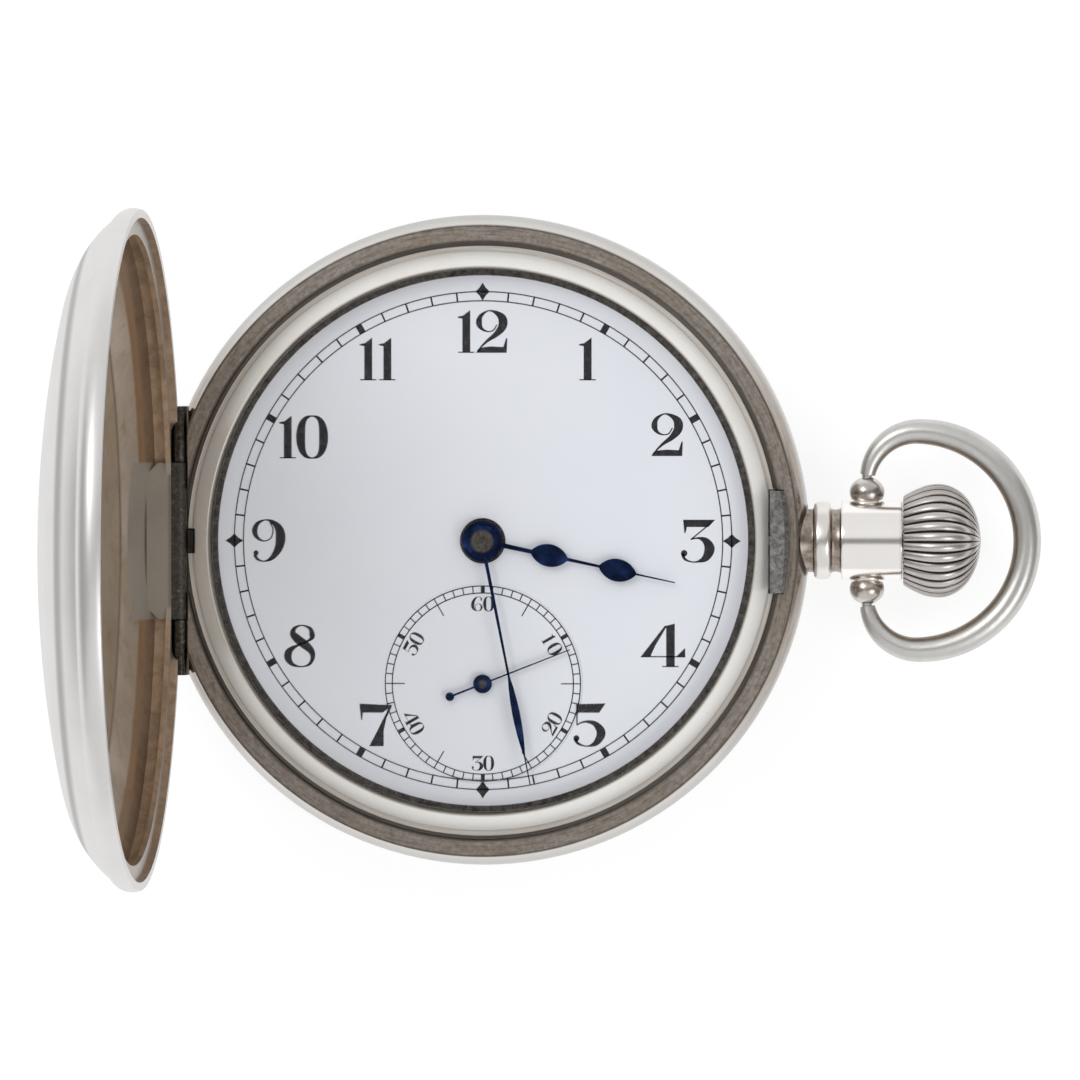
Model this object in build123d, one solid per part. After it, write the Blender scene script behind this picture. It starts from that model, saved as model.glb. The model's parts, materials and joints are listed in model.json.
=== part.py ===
"""Half hunter pocket watch, lying on its back: +Z out of the dial, +X to the crown, +Y to twelve.

Millimetres. The origin is the middle of the flat on the back. The front cover stands open.
"""
import os
from math import acos, asin, atan2, cos, degrees, pi, radians, sin, sqrt

from build123d import *

# Shared fits
FIT = 0.02
RUN_GAP = 0.05
WIDE_GAP = 0.1
EDGE = 0.08
CUT = 1.0
SMALL_R = 0.7
SMALL_SIDES = 8
HEAD_SIDES = 12
HIGH_END = (Align.CENTER, Align.CENTER, Align.MAX)

# Radii, from the movement outward
MOVEMENT_R = 20.85
PLATE_GAP = 0.1
WELL_WALL = 1.95
RIM_WIDTH = 1.3
BEAD_WIDTH = 0.8
WELL_R = MOVEMENT_R + PLATE_GAP
BEZEL_SEAT_R = WELL_R + WELL_WALL
SEAT_R = BEZEL_SEAT_R + RIM_WIDTH
CASE_R = SEAT_R + BEAD_WIDTH

# Case: band, covers and the seats in them
BACK_DEPTH = 4.0
BAND_HEIGHT = 6.0
LID_DEPTH = 6.1
SHELL_T = 0.6
LIP_HEIGHT = 0.6
BEZEL_DROP = 1.3
WELL_DEPTH = 1.6
LEDGE_T = 0.8
LEDGE_WIDTH = 0.65
LOWER_LIP_T = 0.55
LOWER_LIP_WIDTH = 1.15
DUST_SEAT_DEPTH = 0.35
DUST_SEAT_STEP = 0.15
DUST_SEAT_R = BEZEL_SEAT_R - DUST_SEAT_STEP
REST_FLAT_R = 9.0
CROWN_INSET = 1.25
BACK_CROWN_R = WELL_R - CROWN_INSET
BACK_CROWN_RISE = 1.0
DISH_RISE_SHARE = 0.85
LID_CROWN_R = 12.4
LID_CROWN_DROP = 0.5
LID_SHOULDER_R = BACK_CROWN_R
LID_SHOULDER_DROP = 1.9
LID_TURN_R = BEZEL_SEAT_R
LID_TURN_DROP = 3.4
BEAD_HEIGHT = 1.3
SKIRT_DEPTH = 0.45
SEAM_GAP = 0.05
LIP_STAND = 0.2
LIP_R = BEZEL_SEAT_R + LIP_STAND
LIP_T = 0.4
UNDERCUT_WALL = 0.35
UNDERCUT_R = SEAT_R - UNDERCUT_WALL
UNDERCUT_H = 0.9

# Window in the front cover
WINDOW_R = 7.2
WINDOW_RING_W = 0.9
WINDOW_GLASS_T = 0.7
WINDOW_RING_STAND = 0.25

# Hinges of the covers
HINGE_REACH = 0.35
HINGE_X = -BEZEL_SEAT_R - HINGE_REACH
HINGE_INSET = 0.5
KNUCKLE_R = 0.6
HINGE_PIN_R = 0.25
HINGE_LENGTH = 20.6
LID_KNUCKLE_LENGTH = 12.0
DUST_KNUCKLE_LENGTH = 7.0
BACK_KNUCKLE_LENGTH = 3.2
NOTCH_DEPTH = 0.7
NOTCH_FLOOR = 0.25
LID_OPEN_ANGLE = 91.0
GUSSET_T = 0.7
GUSSET_H = 1.9
GUSSET_BEVEL = 0.9

# Springs of the front cover
CATCH_WIDTH = 7.8
CATCH_DEPTH = 0.85
CATCH_INNER_X = BEZEL_SEAT_R - CATCH_DEPTH
CATCH_HEAD_T = 0.6
CATCH_HEAD_DROP = 0.5
CATCH_STEM_STEP = 0.35
CATCH_STEM_X = CATCH_INNER_X + CATCH_STEM_STEP
CATCH_NOSE = 0.35
CATCH_R = LIP_R + CATCH_NOSE
CATCH_TRAVEL = 0.4
SPRING_T = 0.5
SPRING_SWEEP = 62.0
LIFT_NOSE_WIDTH = 1.7
LIFT_NOSE_DEPTH = 0.75
LIFT_NOSE_X = -BEZEL_SEAT_R + LIFT_NOSE_DEPTH
LIFT_SWEEP = 70.0

# Bezel and crystal
BEZEL_MARGIN = 0.3
BEZEL_R = BEZEL_SEAT_R - BEZEL_MARGIN
BEZEL_STEP_W = 0.4
BEZEL_STEP_R = BEZEL_R - BEZEL_STEP_W
BEZEL_STEP_H = 0.6
BEZEL_SLOPE_H = 0.85
BEZEL_SIGHT = 0.05
BEZEL_BORE_R = WELL_R - BEZEL_SIGHT
BEZEL_CREST = 2.0
CRYSTAL_GROOVE = 0.38
CRYSTAL_EDGE_T = 0.6
CRYSTAL_LOW = 1.03
CRYSTAL_RISE = 1.0

# Dial and hands
DIAL_MARGIN = 0.6
DIAL_R = WELL_R - DIAL_MARGIN
DIAL_T = 0.7
SUB_DIAL_R = 7.7
SUB_DIAL_SINK = 0.12
DIAL_HOLE_R = 1.75
SECONDS_HOLE_R = 0.6
HAND_T = 0.2
HOUR_ANGLE = -12.1
HOUR_LENGTH = 15.1
HOUR_BOSS_R = 1.55
HOUR_TAIL_W = 0.2
LEAF_LENGTH = 3.0
LEAF_W = 1.65
LEAF_ONE = 5.25
LEAF_TWO = 10.6
MINUTE_ANGLE = -78.8
MINUTE_LENGTH = 19.05
MINUTE_BOSS_R = 1.25
MINUTE_STEM_W = 0.28
MINUTE_LEAF_W = 0.56
MINUTE_LEAF = 13.6
MINUTE_LEAF_LENGTH = 7.0
SECONDS_ANGLE = 21.5
SECONDS_LENGTH = 7.2
SECONDS_TAIL = 2.7
SECONDS_W = 0.16
SECONDS_BOSS_R = 0.72
SECONDS_DISC_R = 0.33
SECONDS_LIFT = 0.2
HOUR_LIFT = 0.5
MINUTE_LIFT = 1.0

# Pendant, bow, crown and stem, along +X
NECK_ROOT = 1.15
NECK_START = CASE_R - NECK_ROOT
NECK_R = 2.6
COLLAR_STAND = 0.5
COLLAR_START = CASE_R + COLLAR_STAND
COLLAR_LENGTH = 1.15
COLLAR_END = COLLAR_START + COLLAR_LENGTH
COLLAR_R = 2.96
BEAD_LENGTH = 0.55
BEAD_END = COLLAR_END + BEAD_LENGTH
BEAD_R = 2.75
BARREL_STEP = 0.33
BARREL_START = BEAD_END + BARREL_STEP
BARREL_LENGTH = 4.62
BARREL_END = BARREL_START + BARREL_LENGTH
PENDANT_R = 3.05
PENDANT_BORE_R = 1.6
SLEEVE_R = 0.85
SLEEVE_LENGTH = 1.6
EAR_PLACE = 1.92
EAR_X = BARREL_START + EAR_PLACE
EAR_Y = 3.75
EAR_R = 1.25
EAR_FACETS = (-56, -22, 22, 56)
BOW_PIN_R = 0.4
BOW_PIN_DEPTH = 1.3
BOW_MAIN_R = 8.38
BOW_TURN_R = 3.9
BOW_END_R = 0.58
BOW_SIDE_R = 1.0
BOW_WIRE_R = 1.06
BOW_PLACE_SHARES = (0.0, 0.2, 0.5, 0.8, 1.0)
CROWN_STAND = 0.07
CROWN_START = BARREL_END + CROWN_STAND
CROWN_R = 4.4
CROWN_LENGTH = 6.0
CROWN_BORE_R = 3.15
CROWN_BORE_DEPTH = 0.9
CROWN_FLUTES = 32
CROWN_SHARES = (
    (0.0, 0.79, 0.08),
    (0.14, 0.92, 0.11),
    (0.38, 1.0, 0.12),
    (0.63, 0.92, 0.12),
    (0.8, 0.76, 0.1),
    (0.91, 0.54, 0.06),
    (0.98, 0.26, 0.005),
)
STEM_R = 0.6
STEM_PIVOT_R = 0.3
STEM_PIVOT_START = 8.6
STEM_SQUARE_START = 11.75
THREAD_LENGTH = 3.78
STEM_THREAD_END = CROWN_START + THREAD_LENGTH
RELEASE_STAND = 0.15
RELEASE_START = BEZEL_SEAT_R + RELEASE_STAND
RELEASE_LENGTH = 1.2
RELEASE_R = 1.45
PULL_TRAVEL = 1.0
SET_GROOVE_START = 16.9
SET_GROOVE_LENGTH = 1.3
SET_GROOVE_R = 0.4

# Movement plates
FLANGE_T = 0.78
PLATE_T = 1.7
STEM_RISE = 0.42
TRAIN_SPACE = 1.9
BRIDGE_T = 0.95
COCK_T = 0.72
COCK_LIFT = 0.42
RECESS_DEPTH = 0.88
BRIDGE_INSET = 1.55
BRIDGE_R = MOVEMENT_R - BRIDGE_INSET
BRIDGE_SPLIT_Y = 1.7
BRIDGE_GAP = 0.35
BALANCE_WINDOW_R = 7.7
POST_R = 1.25
SCREW_R = 0.85
SCREW_HEAD_T = 0.35
SCREW_SLOT = 0.2
SLOT_TURN = 35.0
COCK_ARM_SHARE = 2.6
COCK_FOOT_SHARE = 1.5
ESCAPE_ROOM_SHARE = 2.6
ARBOR_R = 0.3
PIVOT_R = 0.12
PIVOT_LENGTH = 0.45
JEWEL_R = 0.62
JEWEL_T = 0.3
JEWEL_HOLE_R = 0.17
WHEEL_T = 0.25

# Gears: teeth, modules and shapes
TOOTH_ADD = 0.8
TOOTH_DED = 1.0
TOOTH_ROOT_SHARE = 0.36
TOOTH_TIP_SHARE = 0.18
BARREL_TEETH = 48
CENTRE_LEAVES = 8
CENTRE_TEETH = 48
THIRD_LEAVES = 6
THIRD_TEETH = 45
FOURTH_LEAVES = 6
FOURTH_TEETH = 48
ESCAPE_LEAVES = 6
ESCAPE_TEETH = 15
CANNON_LEAVES = 8
MINUTE_TEETH = 24
MINUTE_LEAVES = 6
HOUR_TEETH = 24
SETTING_TEETH = 8
SPOKE_SHARE = 0.62
WHEEL_HUB_SHARE = 2.4
WINDING_TEETH = 10
CONTRATE_TEETH = 24
CROWN_TEETH = 24
RATCHET_TEETH = 38
BARREL_MODULE = 0.33
CENTRE_MODULE = 0.25
THIRD_MODULE = 0.24
FOURTH_MODULE = 0.19
CANNON_MODULE = 0.30
HOUR_MODULE = 0.32
WINDING_MODULE = 0.22
RATCHET_MODULE = 0.38

# Directions from one arbor to the next, degrees from +X
BARREL_DIRECTION = 65.0
ESCAPE_DIRECTION = 197.0
BALANCE_DIRECTION = 126.2
CLICK_DIRECTION = 200.0

# Heights of the wheels, measured down from the main plate
CENTRE_WHEEL_DROP = 0.12
ESCAPE_WHEEL_DROP = 0.56
BARREL_TEETH_DROP = 0.62
FOURTH_WHEEL_DROP = 0.98
THIRD_WHEEL_DROP = 1.45
LEAF_MARGIN = 0.07
BARREL_TEETH_T = 0.35
BARREL_DRUM_MARGIN = 0.09
BARREL_DRUM_R = BARREL_MODULE * (BARREL_TEETH / 2 - TOOTH_DED) - BARREL_DRUM_MARGIN
BARREL_WALL = 0.35
BARREL_HEIGHT = 1.15
BARREL_COVER_T = 0.18
BARREL_ARBOR_R = 1.1
ARBOR_PIVOT_R = 0.6
MAINSPRING_TURNS = 4
MAINSPRING_PITCH = 0.78
MAINSPRING_T = 0.2
MAINSPRING_START_R = 1.75
RATCHET_T = 0.4
RATCHET_CAP_R = 1.9
RATCHET_CAP_T = 0.3
ARBOR_END = 0.8
COIL_STEPS = 24
CLICK_BEAK_SHARE = 0.4
CLICK_SHOULDER_SHARE = 2.5
CLICK_REACH_SHARE = 5.0
CLICK_EYE_SHARE = 0.8
CLICK_TURN = 14.0
CROWN_ARBOR_R = 1.2
CONTRATE_FACE = 0.7
CONTRATE_FLOOR_DROP = 0.03
PINION_HUB_LENGTH = 1.0
CLUTCH_R = 1.05
CLUTCH_START = 12.4
CLUTCH_LENGTH = 1.75
CLUTCH_GROOVE_R = 0.8
CLUTCH_GROOVE_W = 0.6
NIB_SHARE = 0.3
NIB_HEIGHT_SHARE = 0.4
LEVER_T = 0.3
LEVER_W = 0.9
LEVER_EYE_SHARE = 0.7
SET_PIN_R = 0.22
SETTING_LEVER_SHARE = 0.3
SETTING_LEVER_SIDE = 3.3
YOKE_PIVOT = (13.4, 6.6)
PINION_FACE_T = 0.25
FACE_TEETH = 4
CANNON_R = 0.9
CENTRE_ARBOR_R = 0.6
CANNON_BORE_R = 0.42
HOUR_PIPE_R = 1.3
MOTION_T = 0.25
MOTION_FLOOR_GAP = 0.05
MOTION_STEP = 0.33

# Escapement and balance
ESCAPE_TIP_R = 3.0
ESCAPE_ROOT_R = 2.25
ESCAPE_LEAN = 6.0
ESCAPE_TIP_SHARE = 0.05
PALLET_REACH = 3.5
PALLET_GAP = 0.05
PALLET_SPAN = 30.0
PALLET_WIDTH = 0.36
PALLET_LENGTH = 0.65
PALLET_ARM_W = 0.4
FORK_WIDTH = 0.34
FORK_END = 1.15
FORK_HORN_W = 1.3
FORK_SLOT_W = 0.5
FORK_SLOT_DEPTH = 0.5
BALANCE_REACH = 10.2
BALANCE_R = 6.8
BALANCE_RIM_W = 0.65
BALANCE_RIM_H = 0.5
BALANCE_DROP = 1.3
BALANCE_ARM_W = 0.8
TIMING_SCREWS = 12
TIMING_SCREW_R = 0.22
TIMING_SCREW_H = 0.35
ROLLER_R = 1.25
ROLLER_T = 0.18
ROLLER_DROP = 0.98
ROLLER_PIN_R = 0.1
ROLLER_PIN_REACH = 0.9
HAIRSPRING_TURNS = 4
HAIRSPRING_PITCH = 0.56
HAIRSPRING_T = 0.1
HAIRSPRING_H = 0.18
HAIRSPRING_START_R = 0.75
HAIRSPRING_DROP = 1.95
REGULATOR_RING_W = 0.55
REGULATOR_T = 0.2
REGULATOR_LENGTH = 4.6
REGULATOR_TURN = 24.0
PALLET_COCK_T = 0.2
PALLET_COCK_R = 0.8

# Places that follow from the sizes above
LEDGE_R = WELL_R - LEDGE_WIDTH
Z_BACK = BACK_DEPTH
Z_FRONT = Z_BACK + BAND_HEIGHT
Z_BEZEL = Z_FRONT - BEZEL_DROP
Z_LEDGE = Z_BEZEL - WELL_DEPTH
Z_PLATE_TOP = Z_LEDGE + FLANGE_T
Z_PLATE = Z_PLATE_TOP - PLATE_T
Z_STEM = Z_PLATE + STEM_RISE
Z_BRIDGE = Z_PLATE - TRAIN_SPACE
Z_BRIDGE_OUT = Z_BRIDGE - BRIDGE_T
Z_COCK = Z_BRIDGE - COCK_LIFT
Z_COCK_OUT = Z_COCK - COCK_T
Z_RECESS = Z_PLATE_TOP - RECESS_DEPTH
Z_DIAL = Z_PLATE_TOP + DIAL_T
Z_HINGE_FRONT = Z_FRONT - HINGE_INSET
Z_HINGE_BACK = Z_BACK + HINGE_INSET
Z_MOTION = Z_RECESS + MOTION_FLOOR_GAP
Z_LEVER = Z_PLATE_TOP - LEVER_T - WIDE_GAP
Z_RATCHET = Z_BRIDGE_OUT - RUN_GAP - RATCHET_T
Z_SECONDS = Z_DIAL + SECONDS_LIFT
Z_HOUR = Z_DIAL + HOUR_LIFT
Z_MINUTE = Z_DIAL + MINUTE_LIFT
EDGE_Y = HINGE_LENGTH / 2


def polar(length, angle):
    """Point at a distance and an angle in degrees from the origin."""
    return (length * cos(radians(angle)), length * sin(radians(angle)))


def beside(centre, length, angle):
    """Point at a distance and an angle from another point."""
    step = polar(length, angle)
    return (centre[0] + step[0], centre[1] + step[1])


def meeting(a, ra, b, rb, side):
    """Point at ra from a and rb from b, on the given side of the line between them."""
    gap = sqrt((b[0] - a[0]) ** 2 + (b[1] - a[1]) ** 2)
    bend = acos((ra * ra + gap * gap - rb * rb) / (2 * ra * gap))
    return beside(a, ra, degrees(atan2(b[1] - a[1], b[0] - a[0]) + side * bend))


# Arbor places
CENTRE = (0, 0)
SECONDS_REACH = 10.97
FOURTH = (0, -SECONDS_REACH)
CENTRE_THIRD = CENTRE_MODULE * (CENTRE_TEETH + THIRD_LEAVES) / 2
THIRD_FOURTH = THIRD_MODULE * (THIRD_TEETH + FOURTH_LEAVES) / 2
THIRD = meeting(CENTRE, CENTRE_THIRD, FOURTH, THIRD_FOURTH, 1)
BARREL = polar(BARREL_MODULE * (BARREL_TEETH + CENTRE_LEAVES) / 2, BARREL_DIRECTION)
ESCAPE = beside(FOURTH, FOURTH_MODULE * (FOURTH_TEETH + ESCAPE_LEAVES) / 2, ESCAPE_DIRECTION)
PALLET = beside(ESCAPE, PALLET_REACH, BALANCE_DIRECTION)
BALANCE = beside(ESCAPE, BALANCE_REACH, BALANCE_DIRECTION)
MINUTE_POST = (CANNON_MODULE * (CANNON_LEAVES + MINUTE_TEETH) / 2, 0)
SETTING_POST = (MINUTE_POST[0] + CANNON_MODULE * (MINUTE_TEETH + SETTING_TEETH) / 2, 0)
RATCHET_REACH = RATCHET_MODULE * (CROWN_TEETH + RATCHET_TEETH) / 2
CROWN_POST = (BARREL[0] + sqrt(RATCHET_REACH**2 - BARREL[1] ** 2), 0)
CONTRATE_R = CONTRATE_TEETH * WINDING_MODULE / 2
PINION_START = CROWN_POST[0] + CONTRATE_R - CONTRATE_FACE / 2
POSTS = {
    "barrel_bridge": [(-6.6, 16.5), (14.6, 10.2), (16.9, -4.3)],
    "train_bridge": [(5.4, -16.8), (11.6, -8.6), (-10.0, -14.6)],
}
COCK_POST = (-15.2, 6.0)
SETTING_LEVER_PIVOT = (
    SET_GROOVE_START + SET_GROOVE_LENGTH * SETTING_LEVER_SHARE,
    SETTING_LEVER_SIDE,
)
CASE_SCREW_ANGLES = (28.0, 205.0)


def disc(centre, radius, low, high):
    """Upright cylinder between two heights, eight-sided where it is a small hidden arbor or hole."""
    if radius < SMALL_R:
        return prism(centre, radius, low, high, SMALL_SIDES)
    shape = Cylinder(radius, high - low, align=(Align.CENTER, Align.CENTER, Align.MIN))
    return Pos(centre[0], centre[1], low) * shape


def prism(centre, radius, low, high, sides):
    """Upright prism with a regular outline between two heights."""
    return Pos(centre[0], centre[1], low) * extrude(RegularPolygon(radius, sides), amount=high - low)


def ring(centre, outer, inner, low, high):
    """Upright tube between two heights."""
    return disc(centre, outer, low, high) - disc(centre, inner, low - CUT, high + CUT)


def block(x0, x1, y0, y1, z0, z1):
    """Box between limits on each axis."""
    shape = Box(x1 - x0, y1 - y0, z1 - z0, align=(Align.MIN, Align.MIN, Align.MIN))
    return Pos(x0, y0, z0) * shape


def rod(radius, x0, x1, y=0, z=Z_STEM):
    """Cylinder along +X between two places."""
    shape = Cylinder(radius, x1 - x0, align=(Align.CENTER, Align.CENTER, Align.MIN))
    return Pos(x0, y, z) * Rot(0, 90, 0) * shape


def cross_rod(radius, y0, y1, x, z):
    """Cylinder along +Y between two places."""
    shape = Cylinder(radius, y1 - y0, align=(Align.CENTER, Align.CENTER, Align.MIN))
    return Pos(x, y0, z) * Rot(-90, 0, 0) * shape


def slab(face, low, high):
    """Flat face pulled up between two heights."""
    return Pos(0, 0, low) * extrude(face, amount=high - low)


def outline(points):
    """Face inside a closed run of straight lines."""
    return make_face(Polyline(*points, close=True))


def turned(edges):
    """Solid turned about Z from edges given as radius and height."""
    return revolve(Plane.XZ * make_face(edges), Axis.Z)


def turned_points(points):
    """Solid turned about Z from corner points given as radius and height."""
    return turned(Polyline(*points, close=True))


def gear_face(teeth, module, phase=0.0, lean=0.0):
    """Face of a gear with tapered teeth, the first one centred on the phase angle."""
    pitch_r = module * teeth / 2
    half = 180 / teeth
    steps = (
        (pitch_r - TOOTH_DED * module, -TOOTH_ROOT_SHARE),
        (pitch_r + TOOTH_ADD * module, lean - TOOTH_TIP_SHARE),
        (pitch_r + TOOTH_ADD * module, lean + TOOTH_TIP_SHARE),
        (pitch_r - TOOTH_DED * module, TOOTH_ROOT_SHARE),
    )
    points = []
    for tooth in range(teeth):
        middle = phase + tooth * 2 * half
        points += [polar(radius, middle + share * half) for radius, share in steps]
    return outline(points)


def gear(centre, teeth, module, low, high, phase=0.0, lean=0.0):
    """Upright gear wheel."""
    return Pos(centre[0], centre[1], 0) * slab(gear_face(teeth, module, phase, lean), low, high)


def direction(a, b):
    """Angle in degrees from one point to another."""
    return degrees(atan2(b[1] - a[1], b[0] - a[0]))


def mesh_phase(a, teeth_a, phase_a, b, teeth_b):
    """Phase that puts a gap of the second gear over the tooth of the first between their arbors."""
    line = direction(a, b)
    offset = (line - phase_a) * teeth_a / 360
    return line + 180 - 360 * (0.5 - offset) / teeth_b


def spoked(centre, teeth, module, low, high, phase, hub_r, spokes=5):
    """Gear wheel crossed out between its spokes."""
    wheel = gear(centre, teeth, module, low, high, phase)
    rim_r = module * teeth / 2 - (TOOTH_DED + 2) * module
    arm = hub_r * SPOKE_SHARE
    reach = rim_r + module
    window = Circle(rim_r) - Circle(hub_r)
    for spoke in range(spokes):
        window -= Rot(0, 0, spoke * 360 / spokes) * Pos(reach / 2, 0) * Rectangle(reach, arm)
    opening = Pos(centre[0], centre[1], low - CUT) * extrude(window, amount=high - low + 2 * CUT)
    return wheel - opening


def arbor(centre, low, high, radius=ARBOR_R):
    """Arbor in the train space with a pivot at each end."""
    body = disc(centre, radius, low + RUN_GAP, high - RUN_GAP)
    return body + disc(centre, PIVOT_R, low - PIVOT_LENGTH, high + PIVOT_LENGTH)


def ribbon(centre, start_r, turns, pitch, thick, low, high):
    """Spiral spring of flat ribbon, one half turn after another, with its least gap to itself."""
    outer, inner, middle = [], [], []
    for half in range(2 * turns):
        radius = start_r + half * pitch / 2
        shift = 0 if half % 2 == 0 else pitch / 2
        side = 1 if half % 2 == 0 else -1
        for edges, r in ((outer, radius + thick / 2), (inner, radius - thick / 2)):
            edges.append(ThreePointArc((shift + side * r, 0), (shift, side * r), (shift - side * r, 0)))
        middle += [
            (
                shift + radius * side * cos(step * pi / COIL_STEPS),
                radius * side * sin(step * pi / COIL_STEPS),
            )
            for step in range(COIL_STEPS)
        ]
    start = Line(inner[0] @ 0, outer[0] @ 0)
    end = Line(inner[-1] @ 1, outer[-1] @ 1)
    face = make_face(outer + inner + [start, end])
    least = min(
        sqrt((p[0] - q[0]) ** 2 + (p[1] - q[1]) ** 2)
        for i, p in enumerate(middle)
        for q in middle[i + COIL_STEPS :]
    )
    print("spring gap between turns", round(least - thick, 3))
    return Pos(centre[0], centre[1], 0) * slab(face, low, high)


def screw(centre, low, head_r=SCREW_R, head_t=SCREW_HEAD_T):
    """Screw head with a slot, its underside at the given height and its head below it."""
    head = prism(centre, head_r, low - head_t, low, HEAD_SIDES)
    slot = block(-head_r - CUT, head_r + CUT, -SCREW_SLOT / 2, SCREW_SLOT / 2, 0, head_t / 2)
    return head - Pos(centre[0], centre[1], low - head_t) * Rot(0, 0, SLOT_TURN) * slot


def knuckle(y0, y1, z):
    """Hinge knuckle with its bore for the pin."""
    return cross_rod(KNUCKLE_R, y0, y1, HINGE_X, z) - cross_rod(
        HINGE_PIN_R + FIT + FIT, y0 - CUT, y1 + CUT, HINGE_X, z
    )


def opened(shape):
    """Front cover piece swung from its closed place to its open one."""
    axis = Axis((HINGE_X, 0, Z_HINGE_FRONT), (0, 1, 0))
    return shape.rotate(axis, -LID_OPEN_ANGLE)


def case_band():
    """Band with its seats, hinge notches and slots for the two springs."""
    z_mid = (Z_BACK + Z_FRONT) / 2
    lip_top = Z_LEDGE - LEDGE_T
    low_lip = Z_BACK + DUST_SEAT_DEPTH
    edges = [
        Polyline(
            (SEAT_R, Z_FRONT - LIP_HEIGHT),
            (SEAT_R, Z_FRONT),
            (BEZEL_SEAT_R, Z_FRONT),
            (BEZEL_SEAT_R, Z_BEZEL),
            (WELL_R, Z_BEZEL),
            (WELL_R, Z_LEDGE),
            (LEDGE_R, Z_LEDGE),
            (LEDGE_R, lip_top),
            (BEZEL_SEAT_R, lip_top),
            (BEZEL_SEAT_R, low_lip + LOWER_LIP_T),
            (DUST_SEAT_R - LOWER_LIP_WIDTH, low_lip + LOWER_LIP_T),
            (DUST_SEAT_R - LOWER_LIP_WIDTH, low_lip),
            (DUST_SEAT_R, low_lip),
            (DUST_SEAT_R, Z_BACK),
            (SEAT_R, Z_BACK),
            (SEAT_R, Z_BACK + LIP_HEIGHT),
        ),
        ThreePointArc((SEAT_R, Z_BACK + LIP_HEIGHT), (CASE_R, z_mid), (SEAT_R, Z_FRONT - LIP_HEIGHT)),
    ]
    band = turned(edges)
    notch_x = HINGE_X + NOTCH_DEPTH
    low_z = Z_HINGE_FRONT - KNUCKLE_R - NOTCH_FLOOR
    high_z = Z_HINGE_BACK + KNUCKLE_R + NOTCH_FLOOR
    band -= block(-CASE_R - CUT, notch_x, -EDGE_Y, EDGE_Y, low_z, Z_FRONT + CUT)
    band -= block(-CASE_R - CUT, notch_x, -EDGE_Y, EDGE_Y, Z_BACK - CUT, high_z)
    tongue = DUST_KNUCKLE_LENGTH / 2 + WIDE_GAP
    band -= block(notch_x - CUT, -DUST_SEAT_R + LOWER_LIP_WIDTH + CUT, -tongue, tongue, Z_BACK - CUT, high_z)
    slot_y = CATCH_WIDTH / 2 + WIDE_GAP
    slot_in = CATCH_STEM_X - CATCH_TRAVEL - WIDE_GAP
    slot_out = LIP_R
    band -= block(slot_in, slot_out, -slot_y, slot_y, low_lip + LOWER_LIP_T, Z_FRONT + CUT)
    nose = LIFT_NOSE_WIDTH / 2 + WIDE_GAP
    band -= block(notch_x - WIDE_GAP, LIFT_NOSE_X + WIDE_GAP, -nose, nose, lip_top - CUT, Z_FRONT + CUT)
    band -= rod(NECK_R, NECK_START, CASE_R + CUT)
    band -= rod(PENDANT_BORE_R, WELL_R - CUT, CASE_R)
    for y0, y1 in (
        (LID_KNUCKLE_LENGTH / 2 + WIDE_GAP, EDGE_Y),
        (-EDGE_Y, -LID_KNUCKLE_LENGTH / 2 - WIDE_GAP),
    ):
        foot = block(HINGE_X - HINGE_INSET, notch_x, y0, y1, low_z, Z_HINGE_FRONT)
        foot -= cross_rod(KNUCKLE_R, y0 - CUT, y1 + CUT, HINGE_X, Z_HINGE_FRONT)
        band += foot + knuckle(y0, y1, Z_HINGE_FRONT)
    inner = DUST_KNUCKLE_LENGTH / 2 + BACK_KNUCKLE_LENGTH + 2 * WIDE_GAP
    for y0, y1 in ((inner, EDGE_Y), (-EDGE_Y, -inner)):
        foot = block(HINGE_X - HINGE_INSET, notch_x, y0, y1, Z_HINGE_BACK, high_z)
        foot -= cross_rod(KNUCKLE_R, y0 - CUT, y1 + CUT, HINGE_X, Z_HINGE_BACK)
        band += foot + knuckle(y0, y1, Z_HINGE_BACK)
    return band


def hinge_pin(z):
    """Pin through all the knuckles of one hinge."""
    return cross_rod(HINGE_PIN_R, -EDGE_Y, EDGE_Y, HINGE_X, z)


def cover_rim(shape, z_hinge, z_low, z_high):
    """Cover with its edge cut back for the hinge."""
    limit = HINGE_X - HINGE_INSET
    shape -= block(-CASE_R - CUT, limit, -CASE_R, CASE_R, z_low, z_high)
    return shape - cross_rod(KNUCKLE_R + WIDE_GAP, -EDGE_Y - WIDE_GAP, EDGE_Y + WIDE_GAP, HINGE_X, z_hinge)


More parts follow.
